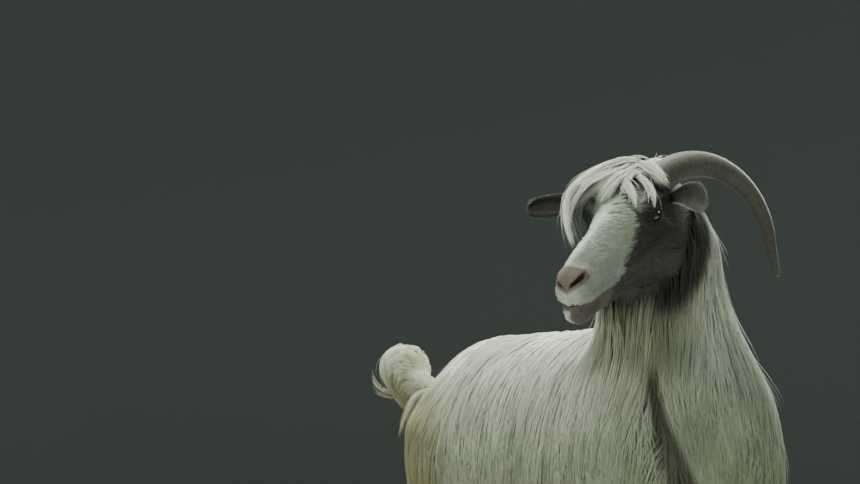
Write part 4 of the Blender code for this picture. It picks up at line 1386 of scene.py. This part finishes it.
# Coats from the skin outwards: name, strands, joints, lowest and highest layer, widths there, how much
# of its length is gathered into locks.
COATS = (
    ("undercoat", 14500, 5, 0.42, 0.88, 0.0054, 0.0034, 0.15),
    ("coat", 30000, 6, 0.78, 1.04, 0.0018, 0.0012, 0.32),
)


def depth_shares(roots, outer):
    """Where between the lowest and the highest layer each strand lies: at random, or for the outer
    coat in patches, which gives it hollows."""
    depth = rng.random(len(roots))
    if outer:
        depth = np.clip(0.15 + 0.75 * cloud(roots, 0.035, 12) + per_strand(len(roots), 0.16), 0, 1)
    return depth


def frayed(paths, roots, tail, outer):
    """Paths that each stray a little from their lock, and for the outer coat some that stray a lot,
    most of them on the breast and the nape."""
    t = np.linspace(0, 1, paths.shape[1])[None, :, None]
    breast = step_up(-0.30, -0.35, roots[:, 1]) * step_up(-0.02, 0.06, roots[:, 0])
    loose = 0.025 + 0.07 * step_up(0.70, 0.78, roots[:, 2]) + 0.12 * breast + 0.06 * tail
    stray = rng.random(len(paths)) < (loose if outer else 0.0)
    off = np.where(stray, 1.0, 0.10)[:, None, None] * rng.normal(0, STRAY, (len(paths), 1, 3))
    return paths + off * t**1.5


def add_body_coat(name, count, joints, low_layer, high_layer, low_width, high_width, pull):
    """One coat of long hair over the body, as pieces by region."""
    count, outer = int(count * HAIR_SHARE), name == "coat"
    roots = scatter(body_points, body_faces, count, LONG_COAT)
    outward = off_skin(roots)
    length, _, _ = lengths_and_density(roots, outward)
    depth = depth_shares(roots, outer)
    tail = step_up(0.42, 0.46, roots[:, 1])
    layer = low_layer + (high_layer - low_layer) * depth
    layer = layer + 0.4 * tail * np.maximum(1 - layer, 0)
    length = length * (0.70 + 0.5 * rng.random(count)) * (0.75 + 0.25 * layer)
    length = length * (0.84 + 0.34 * cloud(roots * (1, 1, 0.3), 0.05, 17))
    paths = grow(roots - outward * 0.001, length, layer, joints)
    paths, big_lock = gather(paths, 0.010, 0.38, 0.50)
    paths, lock = gather(paths, 0.07, pull, 0.25)
    paths = frayed(wave(paths, lock), roots, tail, outer)
    width = (low_width + (high_width - low_width) * depth) * (0.8 + 0.4 * rng.random(count))
    tone = 1 + per_lock(lock, 0.020) + per_strand(count, 0.015) + per_lock(big_lock, 0.03)
    # Painted light: the deeper a strand lies, the lighter its colour, to offset the shade between
    # strands.
    tone = tone * (1.12 - 0.24 * step_up(0.60, 1.04, layer))
    places = paths.reshape(-1, 3)
    hue = np.clip(marking(places).reshape(paths.shape) * tone[:, None, None], 0, LIGHTEST)
    facing = lit_side(off_skin(places), places).reshape(paths.shape)
    spread = SHEEN_SPREAD + BELLY_SPREAD * step_up(-0.15, -0.65, outward[:, 2])
    nearest_form = np.argmin(np.array(body_forms(roots, 1)), 0)
    largest = MOST_TRIANGLES // (6 * joints - 8)
    for form, (region, on_line, line) in enumerate(REGIONS):
        here = np.nonzero(nearest_form == form)[0]
        here = here[np.argsort(roots[here, 1 if region in ("trunk", "tail") else 2])]
        pieces = np.array_split(here, max(1, math.ceil(len(here) / largest)))
        for number, pick in enumerate(pieces, 1):
            if len(pick):
                add_coat(
                    f"{name}_{region}_{number}", paths[pick], width[pick], facing[pick], hue[pick],
                    round_the(roots[pick], on_line, line), spread[pick],
                )


for coat in COATS:
    add_body_coat(*coat)


def combed(roots, outward, way, length, sunk, lift, joints):
    """Short straight hairs along a way. They start a little under the skin, rise off it, level out."""
    t = np.linspace(0, 1, joints)[None, :, None]
    rise = np.sin(np.minimum(t, 0.7) / 0.7 * np.pi / 2) * lift
    paths = roots[:, None] - outward[:, None] * sunk + way[:, None] * (length[:, None, None] * t)
    return paths + outward[:, None] * rise


def add_shin_fur():
    """Short fur on the lower legs."""
    roots = scatter(body_points, body_faces, SHIN_STRANDS, SHIN_FUR)
    outward = off_skin(roots)
    length = lengths_and_density(roots, outward)[0] * (0.7 + 0.6 * rng.random(SHIN_STRANDS))
    way = laid(unit(fall(roots, outward) + rng.normal(0, 0.10, roots.shape)), outward)
    paths = combed(roots, outward, way, length, 0.0006, 0.0022, 4)
    hue = marking(roots) * (1 + per_strand(SHIN_STRANDS, 0.08))[:, None]
    unwrap = np.column_stack((np.arctan2(roots[:, 0], roots[:, 1] - 0.07), roots[:, 2]))
    add_coat("coat_shins", paths, np.full(SHIN_STRANDS, SHIN_WIDTH), outward, hue, unwrap)


def head_growth():
    """How thickly fur grows on each face of the head: most on the muzzle, none on lids, nose and
    mouth."""
    middles = head_points[head_faces].mean(1)
    q = to_head(middles)
    side = fold_halves(q)
    bald = np.linalg.norm(side - EYE_AT, axis=1) < EYE_RADIUS + 0.0045
    bald |= (nose_pad(side) > 0.3) | (groove_distance(side, MOUTH) < 0.0015)
    in_sight = (q[:, 1] > -0.02) & (head_side(middles) > -0.004)
    return (~bald & in_sight) * (1 + 1.4 * step_up(0.20, 0.25, q[:, 1]))


def add_head_fur():
    """Short fur from the nose to the poll and down over the cheeks, longer on the jaw and the poll. It
    parts on the nose's bridge and turns in whorls."""
    count = HEAD_STRANDS
    roots = scatter(head_points, head_faces, count, head_growth())
    outward = slope(skin_distance, roots, 0.002)
    q = to_head(roots)
    jaw = step_up(-0.02, -0.07, q[:, 2]) * step_up(0.17, 0.09, q[:, 1])
    length = 0.0056 + 0.0029 * step_up(0.28, 0.22, q[:, 1]) + 0.004 * step_up(0.20, 0.12, q[:, 1])
    length = length + 0.016 * jaw + 0.022 * step_up(0.05, 0.02, q[:, 1])
    length = length * (0.7 + 0.6 * rng.random(count))
    bridge = step_up(0.020, 0.040, q[:, 2] - 0.25 * (0.2 - q[:, 1])) * step_up(0.27, 0.20, q[:, 1])
    way = np.column_stack((
        np.sign(q[:, 0]) * (0.2 + 0.9 * bridge) + 0.9 * (cloud(roots, 0.030, 9) - 0.5),
        np.full(count, -0.8),
        -0.30 - 0.9 * jaw - 0.6 * bridge + 0.7 * (cloud(roots, 0.022, 10) - 0.5),
    ))
    way = laid(unit(way @ HEAD_AXES + rng.normal(0, 0.12, roots.shape)), outward)
    paths = combed(roots, outward, way, length, 0.0005, 0.0010 + 0.08 * length[:, None, None], 3)
    t = np.linspace(0, 1, 3)[None, :, None]
    paths = paths - UP * 0.25 * length[:, None, None] * t**2 * jaw[:, None, None]
    paths, lock = gather(paths, 0.10, 0.6, 0.3)
    hue = marking(roots) * (1 + per_strand(count, 0.04) + per_lock(lock, 0.05))[:, None]
    width = 0.0009 + 0.042 * length
    for number, pick in enumerate(np.array_split(np.argsort(q[:, 1]), 2), 1):
        unwrap = np.column_stack((np.arctan2(q[pick, 0], q[pick, 2] + 0.01), q[pick, 1]))
        add_coat(f"coat_head_{number}", paths[pick], width[pick], outward[pick], hue[pick], unwrap)


add_shin_fur()
add_head_fur()

# Forelock: locks from the poll over the forehead. For each, how many strands, how wide it is at the
# root and the tip, and places along it, left, nose-ward and brow-ward.
FORELOCK = (
    (240, 0.013, 0.004, (
        (0.005, 0.038, 0.070), (-0.016, 0.066, 0.080), (-0.037, 0.091, 0.083), (-0.056, 0.115, 0.078),
        (-0.068, 0.135, 0.068), (-0.069, 0.151, 0.050), (-0.064, 0.165, 0.027), (-0.055, 0.176, 0.000),
    )),
    (220, 0.013, 0.005, (
        (0.000, 0.042, 0.068), (-0.013, 0.073, 0.080), (-0.028, 0.100, 0.081), (-0.043, 0.121, 0.078),
        (-0.056, 0.141, 0.063), (-0.062, 0.158, 0.046), (-0.062, 0.170, 0.023),
    )),
    (200, 0.013, 0.006, (
        (-0.006, 0.046, 0.066), (-0.014, 0.084, 0.079), (-0.024, 0.109, 0.076), (-0.038, 0.125, 0.069),
        (-0.048, 0.138, 0.060), (-0.055, 0.148, 0.046),
    )),
    (160, 0.014, 0.008, (
        (0.004, 0.030, 0.066), (-0.009, 0.050, 0.083), (-0.026, 0.072, 0.087), (-0.042, 0.095, 0.085),
        (-0.060, 0.114, 0.078), (-0.070, 0.130, 0.068), (-0.075, 0.141, 0.056),
    )),
    (150, 0.012, 0.006, (
        (0.004, 0.050, 0.067), (0.000, 0.086, 0.079), (-0.006, 0.109, 0.076), (-0.013, 0.128, 0.066),
        (-0.018, 0.142, 0.056),
    )),
    (56, 0.0055, 0.0005, (
        (0.010, 0.050, 0.066), (0.005, 0.084, 0.079), (0.007, 0.101, 0.077), (0.020, 0.110, 0.068),
        (0.032, 0.124, 0.058), (0.039, 0.138, 0.044),
    )),
    (60, 0.0055, 0.0005, (
        (0.014, 0.048, 0.066), (0.013, 0.078, 0.079), (0.023, 0.084, 0.073), (0.039, 0.090, 0.063),
        (0.054, 0.107, 0.053), (0.060, 0.124, 0.038),
    )),
    (170, 0.013, 0.005, (
        (0.010, 0.044, 0.064), (0.022, 0.052, 0.072), (0.036, 0.057, 0.068), (0.046, 0.060, 0.060),
        (0.054, 0.062, 0.050),
    )),
    (180, 0.014, 0.007, (
        (0.004, 0.044, 0.064), (0.018, 0.050, 0.076), (0.034, 0.060, 0.073), (0.046, 0.068, 0.065),
        (0.053, 0.074, 0.055),
    )),
    (70, 0.010, 0.002, (
        (0.010, 0.052, 0.067), (0.011, 0.086, 0.079), (0.012, 0.108, 0.072), (0.019, 0.124, 0.061),
    )),
    (90, 0.013, 0.010, (
        (-0.008, 0.030, 0.058), (-0.022, 0.042, 0.071), (-0.040, 0.052, 0.072), (-0.058, 0.060, 0.066),
        (-0.064, 0.066, 0.046),
    )),
    (150, 0.013, 0.012, (
        (0.000, 0.026, 0.056), (0.003, 0.004, 0.059), (0.005, -0.020, 0.052), (0.008, -0.044, 0.034),
    )),
    (150, 0.020, 0.018, (
        (0.000, 0.030, 0.060), (-0.004, 0.062, 0.074), (-0.008, 0.088, 0.076), (-0.012, 0.108, 0.068),
    )),
    (130, 0.016, 0.012, (
        (0.010, 0.030, 0.060), (0.016, 0.050, 0.073), (0.020, 0.068, 0.073), (0.024, 0.082, 0.067),
    )),
    (110, 0.016, 0.014, (
        (-0.010, 0.034, 0.060), (-0.026, 0.062, 0.074), (-0.040, 0.084, 0.072), (-0.050, 0.102, 0.060),
    )),
    (5, 0.003, 0.003, (
        (0.012, 0.034, 0.062), (0.010, 0.026, 0.078), (-0.002, 0.041, 0.086), (-0.010, 0.064, 0.084),
    )),
    (6, 0.006, 0.008, (
        (0.012, 0.030, 0.062), (0.022, 0.018, 0.072), (0.034, 0.007, 0.073),
    )),
)
# Wisps in the body's own frame, with the middle that they lie round: under the tail's ball, below the
# tail's root and on both sides of it.
WISPS = (
    (14, 0.005, 0.001, (
        (0.004, 0.487, 0.626), (-0.006, 0.496, 0.615), (-0.031, 0.513, 0.618), (-0.048, 0.523, 0.630),
        (-0.058, 0.528, 0.651),
    ), (0.3, 0.5, 0.4)),
    (8, 0.004, 0.002, (
        (0.008, 0.485, 0.620), (-0.005, 0.496, 0.611), (-0.022, 0.509, 0.606), (-0.041, 0.521, 0.611),
        (-0.051, 0.527, 0.622),
    ), (0.3, 0.5, 0.4)),
    (26, 0.010, 0.002, (
        (-0.076, 0.318, 0.612), (-0.091, 0.332, 0.598), (-0.104, 0.346, 0.561), (-0.109, 0.357, 0.522),
    ), (0.0, 0.32, 0.50)),
    (24, 0.012, 0.005, (
        (-0.078, 0.322, 0.596), (-0.091, 0.333, 0.578), (-0.097, 0.341, 0.540), (-0.095, 0.346, 0.500),
    ), (0.0, 0.32, 0.50)),
    (26, 0.010, 0.002, (
        (0.076, 0.318, 0.612), (0.091, 0.332, 0.598), (0.104, 0.346, 0.561), (0.108, 0.354, 0.526),
    ), (0.0, 0.32, 0.50)),
    (30, 0.013, 0.006, (
        (0.018, 0.374, 0.598), (0.028, 0.390, 0.584), (0.032, 0.396, 0.550), (0.028, 0.394, 0.510),
    ), (0.0, 0.3, 0.56)),
    (30, 0.013, 0.006, (
        (-0.022, 0.374, 0.598), (-0.032, 0.390, 0.582), (-0.038, 0.398, 0.548), (-0.038, 0.398, 0.506),
    ), (0.0, 0.3, 0.56)),
)
LOCK_JOINTS = 8
FORELOCK_SHADE = np.array(CREAM) * (1.02, 1.02, 1.0)


def lock_paths(count, root_size, tip_size, places, centre=(0.0, 0.075, 0.0)):
    """Strands of one lock: offsets in a flat oval, carried along a smooth curve through the places and
    drawn in to the tip, with ends of their own lengths and a soft wave that they share in part."""
    curve = smooth_rows(places, 24)
    reach = np.concatenate(((0.0,), np.cumsum(np.linalg.norm(np.diff(curve, axis=0), axis=1))))
    t = np.linspace(0, 1, LOCK_JOINTS)
    end = 0.70 + 0.32 * rng.random(count) ** 0.7
    at = np.clip(t[None, :] * end[:, None], 0, 1) * reach[-1]
    middle = np.stack([np.interp(at, reach, curve[:, k]) for k in range(3)], -1)
    run = unit(np.gradient(middle, axis=1))
    across = unit(np.cross(run, unit(middle - np.array(centre))))
    over = np.cross(across, run)
    angle, spread = rng.random(count) * 2 * np.pi, np.sqrt(rng.random(count))
    size = tip_size * t + root_size * ((1 - t) ** 0.9 + 0.45 * np.sin(np.pi * t**0.6))
    size = size[None, :, None]
    middle = middle + across * size * (np.cos(angle) * spread)[:, None, None]
    middle = middle + over * size * 0.45 * (np.sin(angle) * spread)[:, None, None]
    bend = rng.normal(0, 0.0022, (count, 1, 1)) * np.sin(t * 5 + rng.random() * 6)[None, :, None]
    loose = rng.normal(0, 0.0035, (count, 1, 3)) * (t**2)[None, :, None]
    loose = loose * np.where(rng.random(count) < 0.12, 2.2, 0.5)[:, None, None]
    return middle + across * bend + loose


def bundled(rows, fewest):
    """Strands of all the locks that rows describe, and for each strand the number of its lock."""
    bundles = [lock_paths(max(fewest, int(count * LOCK_SHARE)), *rest) for count, *rest in rows]
    return np.vstack(bundles), np.repeat(np.arange(len(rows)), [len(bundle) for bundle in bundles])


def add_forelock():
    """The locks that hang from the poll over the forehead."""
    paths, lock = bundled(FORELOCK, 6)
    paths = from_head(paths)
    outward = unit(paths[:, LOCK_JOINTS // 2] - from_head((0, 0.09, 0.0)))
    tone = 1 + per_lock(lock, 0.03) + per_strand(len(paths), 0.05)
    hue = np.clip(FORELOCK_SHADE * tone[:, None], 0, LIGHTEST)
    width = FORELOCK_WIDTH * (0.75 + 0.5 * rng.random(len(paths)))
    q = to_head(paths[:, 0])
    unwrap = np.column_stack((q[:, 0] + 0.4 * lock / len(FORELOCK), q[:, 1]))
    add_coat("coat_forelock", paths, width, outward, hue, unwrap)


def add_wisps():
    """The loose locks under and beside the tail."""
    paths, lock = bundled(WISPS, 4)
    outward = unit(paths[:, LOCK_JOINTS // 2] - np.array([row[-1] for row in WISPS])[lock])
    tone = 1 + per_strand(len(paths), 0.05)
    hue = np.clip(marking(paths.reshape(-1, 3)).reshape(paths.shape) * tone[:, None, None], 0, LIGHTEST)
    unwrap = np.column_stack((paths[:, 0, 0] + 0.5 * paths[:, 0, 1], paths[:, 0, 2]))
    add_coat("coat_wisps", paths, np.full(len(paths), WISP_WIDTH), outward, hue, unwrap)


def ear_fringe(side):
    """Paths and outward directions of the short hair that stands off an ear's edge."""
    count = FRINGE_STRANDS
    share = 0.12 + 0.88 * rng.random(count) ** 0.8
    lane = np.where(rng.random(count) < 0.5, -1.0, 1.0) * (0.90 + 0.08 * rng.random(count))
    lane = np.where(share > 0.965, rng.uniform(-0.9, 0.9, count), lane)
    foot, over = ear_leaf(side, share, lane)
    along, _, across = ear_frame(side)
    beyond = unit(across * lane[:, None] + along * step_up(0.85, 1.0, share)[:, None])
    way = unit(along * 1.3 + beyond * 0.45 + rng.normal(0, 0.14, foot.shape))
    reach = (0.0065 * (0.6 + 0.8 * rng.random(count)))[:, None, None]
    way = way[:, None]
    paths = foot[:, None] - way * 0.002 + way * reach * np.linspace(0, 1, 3)[None, :, None]
    return paths, unit(beyond + 0.3 * over)


def add_ear_fringes():
    """The fringes of both ears, as one piece."""
    paths, outward = (np.vstack(both) for both in zip(*(ear_fringe(side) for side, _ in SIDES)))
    # Each fringe hair lies between the ear's colour and the lighter edge's, which is partly painted rim
    # light.
    hue = mix(np.tile(EAR_SHADE, (len(paths), 1)), EAR_RIM, rng.random(len(paths)))
    unwrap = np.column_stack((paths[:, 0, 0], paths[:, 0, 2]))
    add_coat("coat_ears", paths, np.full(len(paths), FRINGE_WIDTH), outward, hue, unwrap)


add_forelock()
add_wisps()
add_ear_fringes()

# ---------------------------------------------------------------------------------------------------
# Horns, eyes and claws
# ---------------------------------------------------------------------------------------------------

HORN_LIGHT, HORN_DARK, HOOF_SHADE = (0.200, 0.195, 0.142), (0.056, 0.053, 0.043), (0.075, 0.062, 0.050)
IRIS, IRIS_EDGE = (0.17, 0.095, 0.028), (0.030, 0.017, 0.008)
PUPIL, WHITE = (0.003, 0.003, 0.004), (0.03, 0.02, 0.015)
PUPIL_LENGTH, PUPIL_HEIGHT = 0.46, 0.17  # half sizes, as shares of the eye's radius


def closed_piece(name, points, faces, hue, material, slot):
    """A piece of the material, from one closed surface that may be inside out. slot is not used."""
    piece, _ = new_piece(name, points, outward_faces(points, faces), hue, material)
    return piece


def add_horn(side, side_name):
    """One horn, lighter on its ridges, with painted light on its front and painted shade on its rear
    side, dark to the tip.
    """
    rings, grown, tone = horn_surface(side)
    grain = cloud(rings.reshape(-1, 3), 0.006, 7).reshape(tone.shape)
    share = np.clip(tone + 0.25 * (grain - 0.5), 0, 1)
    hue = mix(mix(np.tile(HORN_DARK, (*tone.shape, 1)), HORN_LIGHT, share), HORN_DARK, 0.4 * grown)
    horn = closed_piece(f"horn_{side_name}_grown", *carried(rings), with_ends(hue), horn_look, "horn")
    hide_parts(f"horn_{side_name}")


def add_eye(side, side_name):
    """One eye: a streaked iris with a dark edge, and a level pupil with rounded corners, half way
    between a box and an oval."""
    ball, nose, brow = eye_ball(side)
    off = np.hypot(nose, brow)
    level, upright = nose / PUPIL_LENGTH, brow / PUPIL_HEIGHT
    pupil = np.maximum(np.abs(level), np.abs(upright)) * 0.5 + 0.5 * np.hypot(level, upright)
    places = np.stack((np.arctan2(brow, nose) * 3, off * 0.8, 0 * off), -1).reshape(-1, 3)
    streaks = cloud(places, 0.22, 8).reshape(off.shape)
    edge = np.clip(step_up(0.45, 0.80, off) + 0.5 * (streaks - 0.5), 0, 1)
    hue = mix(np.tile(IRIS, (*off.shape, 1)), IRIS_EDGE, edge)
    hue = mix(hue, WHITE, step_up(0.80, 0.86, off))
    hue = mix(hue, PUPIL, step_up(1.06, 0.94, pupil))
    eye = closed_piece(f"eye_{side_name}_ball", *carried(ball), with_ends(hue), eye_look, "eye")
    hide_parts(f"eye_{side_name}")


def horny_hue(points, lump):
    """The hoofs' colour with lumps of light and shade."""
    return np.array(HOOF_SHADE) * (0.75 + 0.5 * cloud(points, lump, 3))[:, None]


def add_dewclaws(pair, heel_y, side, side_name):
    """Both dewclaws of one foot, as one piece."""
    parts = []
    for step in (-DEWCLAW_STEP, DEWCLAW_STEP):
        points, faces = carried(dewclaw_surface((side * FOOT_AT + step, heel_y, DEWCLAW_HEIGHT)))
        parts.append((points, outward_faces(points, faces)))
    points, faces = joined(parts)
    hue = horny_hue(points, 0.004)
    closed_piece(f"dewclaws_{pair}_{side_name}", points, faces, hue, hoof_look, "hoof")


def add_claw(node, side, outward):
    """One claw, over the CAD node that it stands for."""
    centre_y = box_middle(node)[1] - TO_FRAME[1] - CLAW_RAKE / 2
    points, faces = carried(claw_surface((side * FOOT_AT, centre_y), outward))
    hue = horny_hue(points, 0.005)
    claw = closed_piece(f"{node}_horny", points, faces, hue, hoof_look, "hoof")
    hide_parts(node)


for side, side_name in SIDES:
    add_horn(side, side_name)
    add_eye(side, side_name)
for pair, heel_y in (("fore", -0.187), ("hind", 0.350)):
    for side, side_name in SIDES:
        add_dewclaws(pair, heel_y, side, side_name)
        for away, place in CLAW_PLACES:
            add_claw(f"claw_{pair}_{side_name}_{place}", side, side * away)

# ---------------------------------------------------------------------------------------------------
# Studio
# ---------------------------------------------------------------------------------------------------

AIM, LAMP_SHADE = (0.0, 0.0, 0.55), (0.96, 1.0, 0.95)
LENS, FILM_WIDTH = 60, 36  # in millimetres
SKY_SHADE, SKY_STRENGTH = (0.78, 0.93, 0.83, 1), 0.47
# Name, place, width and power in watts.
LAMPS = (
    ("soft_above", (-0.2, 0.5, 3.8), 3.4, 190),
    ("soft_front_left", (-3.6, -0.6, 2.6), 2.4, 40),
    ("soft_back", (2.7, 0.5, 2.4), 2.0, 80),
)
# Name, shade, and radius and height of each ring.
SWEEPS = (
    ("floor", (0.55, 0.55, 0.53, 1), ((0.0004, 0.0), (4.0, 0.0), (8.0, 0.0))),
    ("backdrop", (0.125, 0.135, 0.130, 1), ((8.0, 0.0), (8.0, 0.6), (8.0, 4.6))),
)
SWEEP_SIDES = 96
CAMERA_AT, CAMERA_TURN, CAMERA_PITCH = (-1.67188, -1.89610, 0.51330), math.radians(-36), math.radians(8)


def placed(name, data, location=(0, 0, 0)):
    """An object made of some data and put in the scene."""
    made = bpy.data.objects.new(name, data)
    made.location = location
    bpy.context.scene.collection.objects.link(made)
    return made


def add_sweep(name, shade, rings):
    """One matt surface of revolution round the animal."""
    material = bpy.data.materials.new(name)
    material.use_nodes = True
    shader = material.node_tree.nodes["Principled BSDF"]
    shader.inputs["Base Color"].default_value = shade
    shader.inputs["Roughness"].default_value = 0.9
    turn = np.linspace(0, 2 * np.pi, SWEEP_SIDES, endpoint=False)
    points = [(r * math.cos(a), r * math.sin(a), z) for r, z in rings for a in turn]
    near = np.arange(len(points)).reshape(len(rings), SWEEP_SIDES)
    after = np.roll(near, -1, 1)
    faces = np.stack((near[:-1], after[:-1], after[1:], near[1:]), -1).reshape(-1, 4)
    mesh = bpy.data.meshes.new(name)
    mesh.from_pydata(points, [], faces.tolist())
    mesh.materials.append(material)
    placed(name, mesh)


def add_lamp(name, place, size, power):
    """One round soft lamp that faces the animal."""
    data = bpy.data.lights.new(name, "AREA")
    data.shape, data.size, data.energy, data.color = "DISK", size, power, LAMP_SHADE
    lamp = placed(name, data, place)
    lamp.rotation_euler = (Vector(AIM) - Vector(place)).to_track_quat("-Z", "Y").to_euler()


def add_studio():
    """A pale floor that ends at a mid grey backdrop, a dim sky, soft lamps and the camera."""
    scene = bpy.context.scene
    for sweep in SWEEPS:
        add_sweep(*sweep)
    scene.world = scene.world or bpy.data.worlds.new("studio")
    scene.world.use_nodes = True
    sky = scene.world.node_tree.nodes["Background"]
    sky.inputs["Color"].default_value = SKY_SHADE
    sky.inputs["Strength"].default_value = SKY_STRENGTH
    for lamp in LAMPS:
        add_lamp(*lamp)
    data = bpy.data.cameras.new("camera")
    data.lens, data.sensor_width = LENS, FILM_WIDTH
    camera = placed("camera", data, Vector(CAMERA_AT) + Vector(TO_FRAME))
    level = math.cos(CAMERA_PITCH)
    ahead = (-math.sin(CAMERA_TURN) * level, math.cos(CAMERA_TURN) * level, math.sin(CAMERA_PITCH))
    camera.rotation_euler = Vector(ahead).to_track_quat("-Z", "Y").to_euler()
    scene.camera = camera


add_studio()
